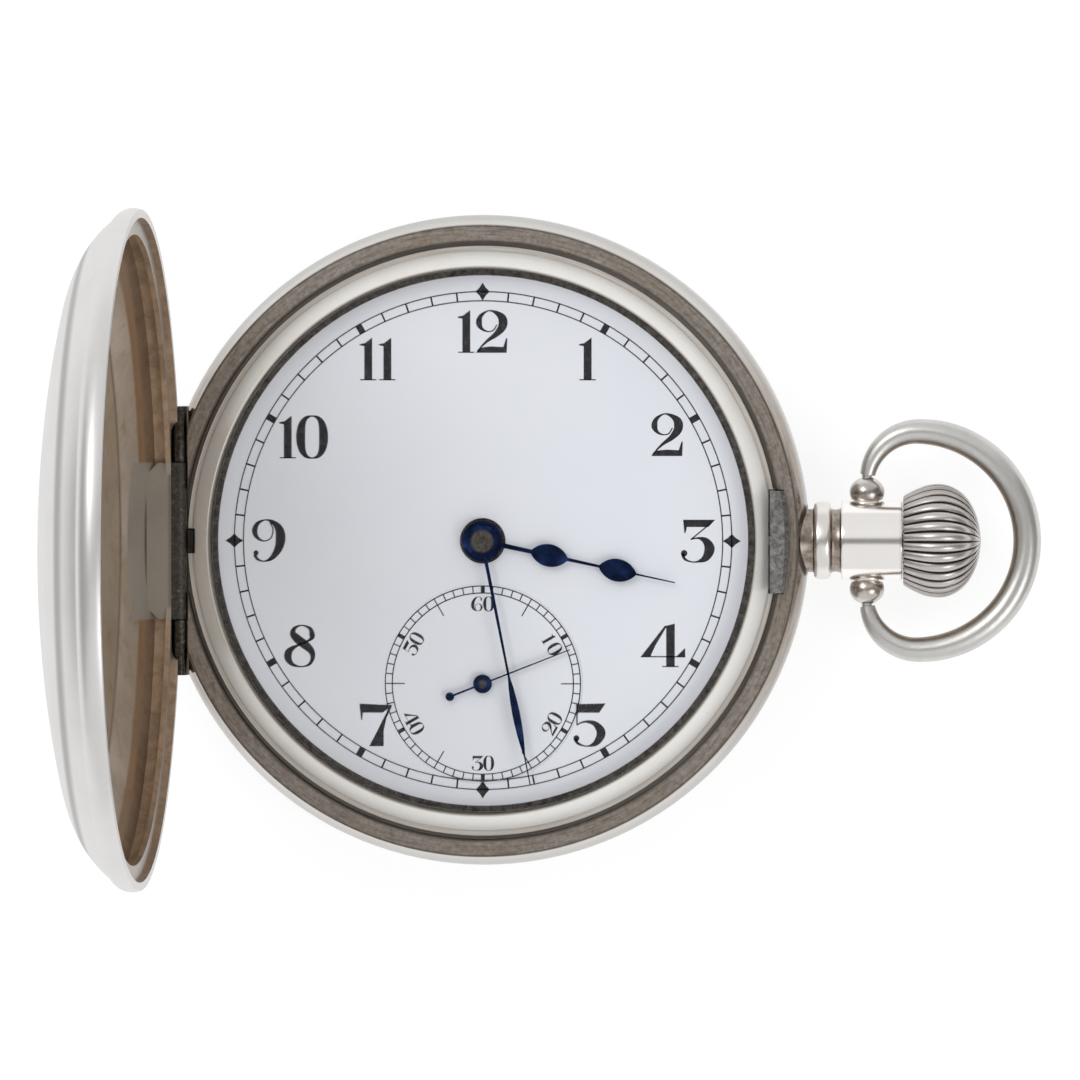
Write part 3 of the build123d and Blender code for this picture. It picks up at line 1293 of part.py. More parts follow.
def jewels():
    """Pressed ruby bearings in the plate, the train bridge and the cock."""
    stones = []
    for centre in (THIRD, ESCAPE, PALLET, BALANCE):
        stones.append(ring(centre, JEWEL_R, JEWEL_HOLE_R, Z_PLATE, Z_PLATE + JEWEL_T))
    for centre in (CENTRE, THIRD, FOURTH, ESCAPE):
        stones.append(ring(centre, JEWEL_R, JEWEL_HOLE_R, Z_BRIDGE - JEWEL_T, Z_BRIDGE))
    stones.append(ring(BALANCE, JEWEL_R, JEWEL_HOLE_R, Z_COCK - JEWEL_T, Z_COCK))
    return stones


def bridge_screws():
    """Slotted screws on the outer faces of the bridges and the cock."""
    places = [(post, Z_BRIDGE_OUT) for posts in POSTS.values() for post in posts]
    places.append((COCK_POST, Z_COCK_OUT))
    return [screw(place, height) for place, height in places]


def case_screws():
    """Two screws in the edge of the plate whose heads hook under the ledge of the band."""
    places = [polar(LEDGE_R - SCREW_R / 2, angle) for angle in CASE_SCREW_ANGLES]
    return [screw(place, Z_PLATE - FIT) for place in places]


PHASE_BARREL = mesh_phase(CENTRE, CENTRE_LEAVES, 0, BARREL, BARREL_TEETH)
PHASE_THIRD_PINION = mesh_phase(CENTRE, CENTRE_TEETH, 0, THIRD, THIRD_LEAVES)
PHASE_FOURTH_PINION = mesh_phase(THIRD, THIRD_TEETH, 0, FOURTH, FOURTH_LEAVES)
PHASE_ESCAPE_PINION = mesh_phase(FOURTH, FOURTH_TEETH, 0, ESCAPE, ESCAPE_LEAVES)
PHASE_MINUTE = mesh_phase(CENTRE, CANNON_LEAVES, 0, MINUTE_POST, MINUTE_TEETH)
PHASE_HOUR = mesh_phase(MINUTE_POST, MINUTE_LEAVES, 0, CENTRE, HOUR_TEETH)
PHASE_SETTING = mesh_phase(MINUTE_POST, MINUTE_TEETH, PHASE_MINUTE, SETTING_POST, SETTING_TEETH)
PHASE_RATCHET = mesh_phase(CROWN_POST, CROWN_TEETH, 0, BARREL, RATCHET_TEETH)
PHASE_CONTRATE = 180 / CONTRATE_TEETH


def barrel():
    """Mainspring barrel: toothed floor and wall."""
    low, high = Z_PLATE - BARREL_TEETH_DROP - BARREL_TEETH_T, Z_PLATE - BARREL_TEETH_DROP
    body = gear(BARREL, BARREL_TEETH, BARREL_MODULE, low, high, PHASE_BARREL)
    body += ring(BARREL, BARREL_DRUM_R, BARREL_DRUM_R - BARREL_WALL, high - BARREL_HEIGHT, low)
    return body - disc(BARREL, BARREL_ARBOR_R + RUN_GAP, low - CUT, high + CUT)


def barrel_cover():
    """Snap-in cover of the barrel."""
    low = Z_PLATE - BARREL_TEETH_DROP - BARREL_HEIGHT
    outer = BARREL_DRUM_R - BARREL_WALL - FIT
    return ring(BARREL, outer, BARREL_ARBOR_R + RUN_GAP, low, low + BARREL_COVER_T)


def barrel_arbor():
    """Arbor of the barrel, with its pivots in plate and bridge and its square under the ratchet wheel."""
    high = Z_PLATE - RUN_GAP
    low = Z_BRIDGE + RUN_GAP
    body = disc(BARREL, BARREL_ARBOR_R, low, high)
    return body + disc(BARREL, ARBOR_PIVOT_R, Z_RATCHET, Z_PLATE + ARBOR_END)


def mainspring():
    """Mainspring coiled inside the barrel."""
    top = Z_PLATE - BARREL_TEETH_DROP - BARREL_TEETH_T - RUN_GAP
    low = Z_PLATE - BARREL_TEETH_DROP - BARREL_HEIGHT + BARREL_COVER_T + RUN_GAP
    return ribbon(BARREL, MAINSPRING_START_R, MAINSPRING_TURNS, MAINSPRING_PITCH, MAINSPRING_T, low, top)


def centre_wheel():
    """Centre wheel, its pinion and the long arbor through the plate."""
    high = Z_PLATE - CENTRE_WHEEL_DROP
    wheel = spoked(CENTRE, CENTRE_TEETH, CENTRE_MODULE, high - WHEEL_T, high, 0, 2 * CENTRE_ARBOR_R)
    teeth_high = Z_PLATE - BARREL_TEETH_DROP + LEAF_MARGIN
    teeth_low = Z_PLATE - BARREL_TEETH_DROP - BARREL_TEETH_T - LEAF_MARGIN
    wheel += gear(CENTRE, CENTRE_LEAVES, BARREL_MODULE, teeth_low, teeth_high, 0)
    wheel += disc(CENTRE, CENTRE_ARBOR_R, Z_BRIDGE + RUN_GAP, Z_RECESS)
    wheel += disc(CENTRE, CANNON_BORE_R, Z_RECESS, Z_MINUTE)
    return wheel + disc(CENTRE, PIVOT_R, Z_BRIDGE - PIVOT_LENGTH, Z_BRIDGE + RUN_GAP)


def cannon_pinion():
    """Cannon pinion on the centre arbor, which carries the minute hand."""
    high = Z_MOTION + MOTION_T + LEAF_MARGIN
    body = gear(CENTRE, CANNON_LEAVES, CANNON_MODULE, Z_MOTION, high, 0)
    body += disc(CENTRE, CANNON_R, high, Z_MINUTE)
    return body - disc(CENTRE, CANNON_BORE_R, Z_MOTION - CUT, Z_MINUTE + CUT)


def minute_wheel():
    """Minute wheel and its pinion, on a post of the plate."""
    body = gear(MINUTE_POST, MINUTE_TEETH, CANNON_MODULE, Z_MOTION, Z_MOTION + MOTION_T, PHASE_MINUTE)
    low = Z_MOTION + MOTION_T
    body += gear(MINUTE_POST, MINUTE_LEAVES, HOUR_MODULE, low, Z_MOTION + MOTION_STEP + MOTION_T, 0)
    return body - disc(MINUTE_POST, ARBOR_R + RUN_GAP, Z_MOTION - CUT, Z_PLATE_TOP)


def setting_wheel():
    """Intermediate setting wheel."""
    body = gear(SETTING_POST, SETTING_TEETH, CANNON_MODULE, Z_MOTION, Z_MOTION + MOTION_T, PHASE_SETTING)
    return body - disc(SETTING_POST, ARBOR_R + RUN_GAP, Z_MOTION - CUT, Z_PLATE_TOP)


def hour_wheel():
    """Hour wheel on its pipe over the cannon pinion."""
    low = Z_MOTION + MOTION_STEP + LEAF_MARGIN
    body = gear(CENTRE, HOUR_TEETH, HOUR_MODULE, low, low + MOTION_T - LEAF_MARGIN, PHASE_HOUR)
    body += disc(CENTRE, HOUR_PIPE_R, low, Z_HOUR)
    return body - disc(CENTRE, CANNON_R + RUN_GAP, Z_MOTION, Z_HOUR + CUT)


def train_wheel(centre, teeth, module, drop, leaves, leaf_module, leaf_drop, leaf_t, phase):
    """Crossed-out wheel and its pinion on one arbor between plate and bridge."""
    high = Z_PLATE - drop
    body = spoked(centre, teeth, module, high - WHEEL_T, high, 0, WHEEL_HUB_SHARE * ARBOR_R)
    leaf_high = Z_PLATE - leaf_drop + LEAF_MARGIN
    leaf_low = leaf_high - leaf_t - 2 * LEAF_MARGIN
    body += gear(centre, leaves, leaf_module, leaf_low, leaf_high, phase)
    return body + arbor(centre, Z_BRIDGE, Z_PLATE)


def third_wheel():
    """Third wheel and pinion."""
    sizes = (THIRD_TEETH, THIRD_MODULE, THIRD_WHEEL_DROP, THIRD_LEAVES, CENTRE_MODULE)
    return train_wheel(THIRD, *sizes, CENTRE_WHEEL_DROP, WHEEL_T, PHASE_THIRD_PINION)


def fourth_wheel():
    """Fourth wheel and pinion, its arbor carried through the dial for the seconds hand."""
    sizes = (FOURTH_TEETH, FOURTH_MODULE, FOURTH_WHEEL_DROP, FOURTH_LEAVES, THIRD_MODULE)
    body = train_wheel(FOURTH, *sizes, THIRD_WHEEL_DROP, WHEEL_T, PHASE_FOURTH_PINION)
    return body + disc(FOURTH, ARBOR_R, Z_PLATE - RUN_GAP, Z_SECONDS)


def escape_wheel():
    """Escape wheel with fifteen leaning teeth, and its pinion."""
    high = Z_PLATE - ESCAPE_WHEEL_DROP
    low = high - WHEEL_T
    start = BALANCE_DIRECTION + PALLET_SPAN + 90 / ESCAPE_TEETH - ESCAPE_LEAN
    pitch = 360 / ESCAPE_TEETH
    points = []
    for tooth in range(ESCAPE_TEETH):
        middle = start + tooth * pitch
        points += [
            polar(ESCAPE_ROOT_R, middle - pitch / 4),
            polar(ESCAPE_TIP_R, middle + ESCAPE_LEAN - pitch * ESCAPE_TIP_SHARE),
            polar(ESCAPE_TIP_R, middle + ESCAPE_LEAN + pitch * ESCAPE_TIP_SHARE),
            polar(ESCAPE_ROOT_R, middle + pitch / 8),
        ]
    body = Pos(ESCAPE[0], ESCAPE[1], 0) * slab(outline(points), low, high)
    hub = WHEEL_HUB_SHARE * ARBOR_R
    rim = ESCAPE_ROOT_R - hub / 2
    window = Circle(rim) - Circle(hub)
    for turn in (0, 90):
        window -= Rot(0, 0, turn) * Rectangle(2 * rim + hub, hub / 2)
    body -= Pos(ESCAPE[0], ESCAPE[1], low - CUT) * extrude(window, amount=3 * CUT)
    leaf_high = Z_PLATE - FOURTH_WHEEL_DROP + LEAF_MARGIN
    leaf_low = leaf_high - WHEEL_T - 2 * LEAF_MARGIN
    body += gear(ESCAPE, ESCAPE_LEAVES, FOURTH_MODULE, leaf_low, leaf_high, PHASE_ESCAPE_PINION)
    return body + arbor(ESCAPE, Z_BRIDGE, Z_PLATE)


def pallet_fork():
    """Pallet lever: two arms round the escape wheel, and the fork towards the balance."""
    high = Z_PLATE - ESCAPE_WHEEL_DROP
    low = high - WHEEL_T
    turn = BALANCE_DIRECTION
    stone_mid = ESCAPE_TIP_R + PALLET_GAP + PALLET_LENGTH
    body = disc(PALLET, PALLET_ARM_W, low, high)
    for side in (1, -1):
        tip = beside(ESCAPE, stone_mid, turn + side * PALLET_SPAN)
        line = direction(PALLET, tip)
        half = PALLET_ARM_W / 2
        corners = [
            beside(PALLET, half, line + 90),
            beside(tip, half, line + 90),
            beside(tip, half, line - 90),
            beside(PALLET, half, line - 90),
        ]
        body += slab(outline(corners), low, high)
    end = beside(BALANCE, FORK_END, turn + 180)
    half = FORK_WIDTH / 2
    body += slab(
        outline(
            [
                beside(PALLET, 2 * half, turn + 90),
                beside(end, half, turn + 90),
                beside(end, half, turn - 90),
                beside(PALLET, 2 * half, turn - 90),
            ]
        ),
        low,
        high,
    )
    back = beside(BALANCE, FORK_END + 2 * FORK_SLOT_DEPTH, turn + 180)
    horn = FORK_HORN_W / 2
    slot = FORK_SLOT_W / 2
    body += slab(
        outline(
            [
                beside(back, half, turn + 90),
                beside(end, horn, turn + 90),
                beside(end, slot, turn + 90),
                beside(beside(end, FORK_SLOT_DEPTH, turn + 180), slot, turn + 90),
                beside(beside(end, FORK_SLOT_DEPTH, turn + 180), slot, turn - 90),
                beside(end, slot, turn - 90),
                beside(end, horn, turn - 90),
                beside(back, half, turn - 90),
            ]
        ),
        low,
        high,
    )
    notch = slab(
        outline(
            [
                beside(beside(end, FORK_SLOT_DEPTH, turn + 180), slot, turn + 90),
                beside(beside(end, FORK_SLOT_DEPTH, turn), slot, turn + 90),
                beside(beside(end, FORK_SLOT_DEPTH, turn), slot, turn - 90),
                beside(beside(end, FORK_SLOT_DEPTH, turn + 180), slot, turn - 90),
            ]
        ),
        low - CUT,
        high + CUT,
    )
    body -= notch
    for stone in pallet_stones():
        body -= stone
    cock_low = pallet_cock_levels()[0]
    body += disc(PALLET, ARBOR_R, low, Z_PLATE - RUN_GAP)
    return body + disc(PALLET, PIVOT_R, cock_low, Z_PLATE + PIVOT_LENGTH)


def pallet_stones():
    """The two ruby pallets held in the ends of the lever."""
    high = Z_PLATE - ESCAPE_WHEEL_DROP
    low = high - WHEEL_T
    stones = []
    half = PALLET_WIDTH / 2
    for side in (1, -1):
        line = BALANCE_DIRECTION + side * PALLET_SPAN
        tip = beside(ESCAPE, ESCAPE_TIP_R + PALLET_GAP, line)
        root = beside(tip, PALLET_LENGTH, line)
        corners = [
            beside(tip, half, line + 90),
            beside(root, half, line + 90),
            beside(root, half, line - 90),
            beside(tip, half, line - 90),
        ]
        stones.append(slab(outline(corners), low, high))
    return stones


def balance_wheel():
    """Balance with a split rim, two arms, timing screws and its staff."""
    low = Z_PLATE - BALANCE_DROP - BALANCE_RIM_H
    high = Z_PLATE - BALANCE_DROP
    inner = BALANCE_R - BALANCE_RIM_W
    body = ring(BALANCE, BALANCE_R, inner, low, high)
    half = BALANCE_ARM_W / 2
    arm = block(-inner - FIT, inner + FIT, -half, half, low, low + BALANCE_RIM_H / 2)
    body += Pos(BALANCE[0], BALANCE[1], 0) * arm
    body += disc(BALANCE, 2 * half, low, low + BALANCE_RIM_H / 2)
    middle = (low + high) / 2
    for number in range(TIMING_SCREWS):
        turn = (number + 0.5) * 360 / TIMING_SCREWS
        side = TIMING_SCREW_R
        head = block(BALANCE_R - side, BALANCE_R + TIMING_SCREW_H, -side, side, middle - side, middle + side)
        body += Pos(BALANCE[0], BALANCE[1], 0) * Rot(0, 0, turn) * head
    body += disc(BALANCE, ARBOR_R, Z_COCK + RUN_GAP, Z_PLATE - RUN_GAP)
    return body + disc(BALANCE, PIVOT_R, Z_COCK - PIVOT_LENGTH, Z_PLATE + PIVOT_LENGTH)


def roller():
    """Roller table on the staff, with the impulse jewel."""
    high = Z_PLATE - ROLLER_DROP
    body = ring(BALANCE, ROLLER_R, ARBOR_R, high - ROLLER_T, high)
    pin = beside(BALANCE, ROLLER_PIN_REACH, BALANCE_DIRECTION + 180)
    top = Z_PLATE - ESCAPE_WHEEL_DROP - WHEEL_T - RUN_GAP
    return body + disc(pin, ROLLER_PIN_R, high - ROLLER_T, top)


def hairspring():
    """Flat hairspring between the balance and its cock."""
    high = Z_PLATE - HAIRSPRING_DROP
    sizes = (HAIRSPRING_START_R, HAIRSPRING_TURNS, HAIRSPRING_PITCH, HAIRSPRING_T)
    return ribbon(BALANCE, *sizes, high - HAIRSPRING_H, high)


def regulator():
    """Regulator lever lying on the cock round its jewel."""
    high = Z_COCK_OUT
    low = high - REGULATOR_T
    inner = JEWEL_R
    body = ring(BALANCE, inner + REGULATOR_RING_W, inner, low, high)
    line = direction(BALANCE, COCK_POST) + REGULATOR_TURN
    start = beside(BALANCE, inner + REGULATOR_RING_W / 2, line)
    end = beside(BALANCE, REGULATOR_LENGTH, line)
    half = REGULATOR_RING_W / 2
    corners = [
        beside(start, half, line + 90),
        beside(end, half / 3, line + 90),
        beside(end, half / 3, line - 90),
        beside(start, half, line - 90),
    ]
    return body + slab(outline(corners), low, high)


def crown_wheel():
    """Crown wheel on the outside of the barrel bridge."""
    return gear(CROWN_POST, CROWN_TEETH, RATCHET_MODULE, Z_RATCHET, Z_RATCHET + RATCHET_T, 0)


def transmission_wheel():
    """Face-toothed wheel under the bridge, driven by the winding pinion, and its arbor."""
    pitch_z = Z_STEM - WINDING_MODULE * WINDING_TEETH / 2
    top = pitch_z + TOOTH_ADD * WINDING_MODULE
    floor = pitch_z - TOOTH_DED * WINDING_MODULE - CONTRATE_FLOOR_DROP
    outer = CONTRATE_R + CONTRATE_FACE / 2
    inner = CONTRATE_R - CONTRATE_FACE / 2
    body = disc(CROWN_POST, outer, Z_BRIDGE + RUN_GAP, floor)
    body += disc(CROWN_POST, CROWN_ARBOR_R, Z_RATCHET + RATCHET_T, Z_BRIDGE + RUN_GAP)
    width = CONTRATE_R * pi / CONTRATE_TEETH * (TOOTH_ROOT_SHARE + TOOTH_TIP_SHARE) / 2
    for tooth in range(CONTRATE_TEETH):
        bar = block(inner, outer - FIT, -width, width, floor - FIT, top)
        turn = PHASE_CONTRATE + tooth * 360 / CONTRATE_TEETH
        body += Pos(CROWN_POST[0], CROWN_POST[1], 0) * Rot(0, 0, turn) * bar
    return body


def ratchet_wheel():
    """Ratchet wheel on the barrel arbor."""
    wheel = gear(BARREL, RATCHET_TEETH, RATCHET_MODULE, Z_RATCHET, Z_RATCHET + RATCHET_T, PHASE_RATCHET)
    return wheel - disc(BARREL, ARBOR_PIVOT_R, Z_RATCHET - CUT, Z_RATCHET + CUT)


def click():
    """Click whose beak rides just over the teeth of the ratchet wheel."""
    pitch_r = RATCHET_MODULE * RATCHET_TEETH / 2
    step = 360 / RATCHET_TEETH
    gap = PHASE_RATCHET + (round((CLICK_DIRECTION - PHASE_RATCHET) / step) + 0.5) * step
    beak = beside(BARREL, pitch_r + TOOTH_ADD * RATCHET_MODULE + RUN_GAP, gap)
    shoulder = beside(BARREL, pitch_r + CLICK_SHOULDER_SHARE * RATCHET_MODULE, gap)
    pivot = click_pivot()
    width = RATCHET_MODULE * CLICK_BEAK_SHARE
    line = direction(beak, shoulder)
    out = direction(shoulder, pivot)
    corners = [
        beside(beak, width / 2, line + 90),
        beside(shoulder, width, line + 90),
        beside(pivot, LEVER_W * CLICK_EYE_SHARE, out + 90),
        beside(pivot, LEVER_W * CLICK_EYE_SHARE, out - 90),
        beside(shoulder, width, line - 90),
        beside(beak, width / 2, line - 90),
    ]
    body = slab(outline(corners), Z_RATCHET, Z_RATCHET + RATCHET_T)
    body += disc(pivot, LEVER_W, Z_RATCHET, Z_RATCHET + RATCHET_T)
    return body - disc(pivot, ARBOR_R + RUN_GAP, Z_RATCHET - CUT, Z_RATCHET + CUT)


def click_pivot():
    """Place of the click screw beside the ratchet wheel."""
    pitch_r = RATCHET_MODULE * RATCHET_TEETH / 2
    return beside(BARREL, pitch_r + CLICK_REACH_SHARE * RATCHET_MODULE, CLICK_DIRECTION - CLICK_TURN)


def ratchet_screw():
    """Cap screw that holds the ratchet wheel on its arbor."""
    return screw(BARREL, Z_RATCHET, RATCHET_CAP_R, RATCHET_CAP_T)


def crown_wheel_screw():
    """Cap screw that holds the crown wheel on its arbor."""
    return screw(CROWN_POST, Z_RATCHET, RATCHET_CAP_R, RATCHET_CAP_T)


def click_screw():
    """Shouldered screw through the click into the bridge."""
    low = Z_RATCHET - RUN_GAP
    return screw(click_pivot(), low) + disc(click_pivot(), ARBOR_R, low, Z_BRIDGE_OUT)


def dial():
    """Enamel dial with a sunk seconds ring and holes for the hands' arbors."""
    body = disc(CENTRE, DIAL_R, Z_PLATE_TOP, Z_DIAL)
    body -= disc(FOURTH, SUB_DIAL_R, Z_DIAL - SUB_DIAL_SINK, Z_DIAL + CUT)
    body -= disc(CENTRE, DIAL_HOLE_R, Z_PLATE_TOP - CUT, Z_DIAL + CUT)
    return body - disc(FOURTH, SECONDS_HOLE_R, Z_PLATE_TOP - CUT, Z_DIAL + CUT)


def leaf(middle, length, width):
    """Pear shape on the line of a hand, pointed at both ends."""
    start, stop = middle - length / 2, middle + length / 2
    wide = (middle - length / 8, width / 2)
    upper = ThreePointArc((start, 0), wide, (stop, 0))
    lower = ThreePointArc((start, 0), (wide[0], -wide[1]), (stop, 0))
    return make_face([upper, lower])


def hand(face, angle, z, centre=CENTRE):
    """Flat hand turned to its angle and set at its height."""
    return Pos(centre[0], centre[1], z) * Rot(0, 0, angle) * extrude(face, amount=HAND_T)


def hour_hand():
    """Half hunter hour hand: one pear seen through the window, one seen with the cover open."""
    width = HOUR_TAIL_W
    tip = EDGE / 2
    face = Circle(HOUR_BOSS_R) + outline([(0, -width), (0, width), (HOUR_LENGTH, tip), (HOUR_LENGTH, -tip)])
    for middle in (LEAF_ONE, LEAF_TWO):
        face += leaf(middle, LEAF_LENGTH, LEAF_W)
    face -= Circle(CANNON_R + RUN_GAP)
    return hand(face, HOUR_ANGLE, Z_HOUR)


def minute_hand():
    """Minute hand with a slender leaf."""
    width = MINUTE_STEM_W / 2
    face = Circle(MINUTE_BOSS_R) + outline(
        [(0, -width), (0, width), (MINUTE_LENGTH, EDGE / 2), (MINUTE_LENGTH, -EDGE / 2)]
    )
    face += leaf(MINUTE_LEAF, MINUTE_LEAF_LENGTH, MINUTE_LEAF_W)
    return hand(face, MINUTE_ANGLE, Z_MINUTE)


def seconds_hand():
    """Seconds hand with a needle, a boss and a counterweight disc."""
    width = SECONDS_W / 2
    face = Circle(SECONDS_BOSS_R) + Pos(-SECONDS_TAIL, 0) * Circle(SECONDS_DISC_R)
    face += outline(
        [
            (-SECONDS_TAIL, -width),
            (-SECONDS_TAIL, width),
            (SECONDS_LENGTH, EDGE / 2),
            (SECONDS_LENGTH, -EDGE / 2),
        ]
    )
    return hand(face, SECONDS_ANGLE, Z_SECONDS, FOURTH)


PIECES = {
    "case_band": case_band,
    "front_hinge_pin": lambda: hinge_pin(Z_HINGE_FRONT),
    "back_hinge_pin": lambda: hinge_pin(Z_HINGE_BACK),
    "front_cover": lambda: opened(front_cover()),
    "window_ring": lambda: opened(window_ring()),
    "window_glass": lambda: opened(window_glass()),
    "back_cover": back_cover,
    "dust_cover": dust_cover,
    "bezel": bezel,
    "crystal": crystal,
    "catch": catch,
    "lock_spring": lock_spring_arm,
    "lift_spring": lift_spring,
    "pendant": pendant,
    "pendant_sleeve": pendant_sleeve,
    "bow": bow,
    "crown": crown,
    "stem": stem,
    "release_collar": release_collar,
    "winding_pinion": winding_pinion,
    "clutch": clutch,
    "setting_lever": setting_lever,
    "yoke": yoke,
    "transmission_wheel": transmission_wheel,
    "crown_wheel": crown_wheel,
    "ratchet_wheel": ratchet_wheel,
    "click": click,
    "click_screw": click_screw,
    "ratchet_screw": ratchet_screw,
    "crown_wheel_screw": crown_wheel_screw,
    "main_plate": main_plate,
    "barrel_bridge": barrel_bridge,
    "train_bridge": train_bridge,
    "balance_cock": balance_cock,
    "pallet_cock": pallet_cock,
    "jewels": jewels,
    "bridge_screws": bridge_screws,
    "case_screws": case_screws,
    "barrel": barrel,
    "barrel_cover": barrel_cover,
    "barrel_arbor": barrel_arbor,
    "mainspring": mainspring,
    "centre_wheel": centre_wheel,
    "cannon_pinion": cannon_pinion,
    "minute_wheel": minute_wheel,
    "setting_wheel": setting_wheel,
    "hour_wheel": hour_wheel,
    "third_wheel": third_wheel,
    "fourth_wheel": fourth_wheel,
    "escape_wheel": escape_wheel,
    "pallet_fork": pallet_fork,
    "pallet_stones": pallet_stones,
    "balance_wheel": balance_wheel,
    "roller": roller,
    "hairspring": hairspring,
    "regulator": regulator,
    "dial": dial,
    "hour_hand": hour_hand,
    "minute_hand": minute_hand,
    "seconds_hand": seconds_hand,
}

os.makedirs("parts", exist_ok=True)
for name, build in PIECES.items():
    shape = build()
    solids = shape if isinstance(shape, list) else shape.solids()
    export_step(solids[0] if len(solids) == 1 else Compound(children=list(solids)), f"parts/{name}.step")
    print(name, len(solids))
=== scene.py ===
"""Looks of the half hunter watch: metals, enamel, printed dial, lid chapter ring, studio and camera.

Metres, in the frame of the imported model: +Z out of the dial, +X to the crown, +Y to twelve. The materials'
textures and the profiles of pendant and crown are in millimetres.
"""
import json
from math import cos, pi, radians, sin, tan

import bmesh
import bpy
from mathutils import Matrix, Vector
from mathutils.bvhtree import BVHTree


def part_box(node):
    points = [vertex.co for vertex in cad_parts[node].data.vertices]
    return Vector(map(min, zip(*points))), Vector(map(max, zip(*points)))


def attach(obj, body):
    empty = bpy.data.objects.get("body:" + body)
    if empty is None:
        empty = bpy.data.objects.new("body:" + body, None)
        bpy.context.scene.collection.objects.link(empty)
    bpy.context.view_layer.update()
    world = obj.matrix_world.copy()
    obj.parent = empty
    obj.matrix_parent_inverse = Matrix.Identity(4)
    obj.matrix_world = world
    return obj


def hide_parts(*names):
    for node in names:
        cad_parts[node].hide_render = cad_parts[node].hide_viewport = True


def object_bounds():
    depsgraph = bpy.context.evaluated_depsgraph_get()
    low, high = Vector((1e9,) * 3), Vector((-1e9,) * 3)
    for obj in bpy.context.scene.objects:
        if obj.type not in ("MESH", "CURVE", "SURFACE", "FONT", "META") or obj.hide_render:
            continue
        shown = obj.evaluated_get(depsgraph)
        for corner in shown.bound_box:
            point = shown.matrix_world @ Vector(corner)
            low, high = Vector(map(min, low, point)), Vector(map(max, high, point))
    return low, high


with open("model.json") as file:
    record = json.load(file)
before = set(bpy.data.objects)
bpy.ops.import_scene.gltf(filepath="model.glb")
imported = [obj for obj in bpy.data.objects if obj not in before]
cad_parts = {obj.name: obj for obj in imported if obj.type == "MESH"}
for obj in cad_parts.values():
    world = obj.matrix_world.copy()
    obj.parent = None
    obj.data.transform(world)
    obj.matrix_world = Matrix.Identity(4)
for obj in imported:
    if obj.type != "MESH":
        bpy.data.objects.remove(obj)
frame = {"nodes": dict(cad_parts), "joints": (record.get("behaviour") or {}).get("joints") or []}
cad_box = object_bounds()
nodes = frame["nodes"]
joints = {joint["name"]: joint for joint in frame["joints"]}

MM = 0.001
PER_MM = 1000.0
FULL_TURN = 2 * pi

# Print on the enamel
INK_LIFT = 0.012 * MM
DIAL_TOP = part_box("dial")[1].z
SUB_SINK = 0.12 * MM
SUB_MIDDLE = (0.0, -10.97)
SUB_CENTRE = Vector((SUB_MIDDLE[0] * MM, SUB_MIDDLE[1] * MM))
LINE_WIDTH = 0.09 * MM
MINUTE_INNER_R = 18.4 * MM
MINUTE_OUTER_R = 19.1 * MM
MINUTE_TICK_WIDTH = 0.13 * MM
FIVE_TICK_WIDTH = 0.5 * MM
DIAMOND_LENGTH = 1.38 * MM
DIAMOND_WIDTH = 1.1 * MM
DIAMOND_WAIST = 0.62 / 0.7
SECOND_INNER_R = 6.96 * MM
SECOND_OUTER_R = 7.5 * MM
SECOND_LINE_WIDTH = 0.085 * MM
TEN_TICK_WIDTH = 0.3 * MM
LONG_TICK_R = 6.0 * MM
NUMERAL_HEIGHT = 3.27 * MM
SECOND_NUMERAL_HEIGHT = 1.12 * MM
SECOND_NUMERAL_R = 6.12 * MM
SECOND_TENS = "612345"
TEN_OFFSET = -0.38
NOUGHT_OFFSET = 0.4
MINUTES = 60
HOURS = 12
CIRCLE_STEPS = 180
DOT_SIDES = 16
LINE_STEPS = 6

# Chapter ring on the outside of the front cover
RING_INNER_R = 8.75 * MM
RING_OUTER_R = 11.75 * MM
RING_LINE_WIDTH = 0.11 * MM
ROMAN_R = 10.2 * MM
ROMAN_HEIGHT = 1.75 * MM
ROMAN_LIFT = 0.02 * MM
CLEAR_OF_LID = 60 * MM

# Covers, in millimetres: the middles of their open sides, and the seam on their outside
LID_CENTRE = (-23.66, 0.0, 32.75)
BACK_CENTRE = (0.0, 0.0, 4.0)
DUST_CENTRE = (0.0, 0.0, 4.6)
SEAM_RADIUS = 22.6

# Where the metals' looks change. Each pair is where a blend starts and where it ends, in millimetres,
# and for the band's ends a share of the radius.
BEAD_INNER_EDGE = (24.12, 24.28)
FLAT_OUTER_EDGE = (24.0, 24.12)
FLAT_INNER_EDGE = (22.95, 23.1)
BAND_TOP = (8.4, 8.8)
BAND_END_SHARE = (0.72, 0.93)
BAND_END_HEIGHT = (7.6, 8.4)
BEZEL_INNER_EDGE = (20.9, 21.1)
BEZEL_STEP = (22.12, 22.24)
HINGE_FACE = (-22.75, -22.6)
HINGE_FOOT = (8.3, 8.6)
HINGE_HALF_LENGTH = (10.3, 10.8)
KNUCKLE_TOP = (10.1, 10.25)
KNUCKLE_FACE = (-24.1, -23.95)
PLATE_TOP = (12.25, 12.45)
PLATE_HALF_LENGTH = (5.9, 6.1)
COVER_INSIDE = (-0.7, -0.3)
COVER_WALL = (-16.0, -12.0)
COVER_RINGS = (16.0, 23.0)
NECK_GROOVE = (2.5, 2.72)
COLLAR_END = (27.2, 27.4)
BARREL_MIDDLE = 29.75
BARREL_HALF_LENGTH = (2.1, 2.3)
BARREL_END = (31.9, 32.1)
EAR_FOOT = (3.1, 3.2)
EAR_REACH = (3.2, 4.6)
# Radii of painted shade: the main plate's rim seen in the gap round the dial, and the hour wheel's pipe at
# the hub.
PLATE_RIM_SHADE = (19.9, 20.1)
HUB_SHADE = (2.6, 2.2)

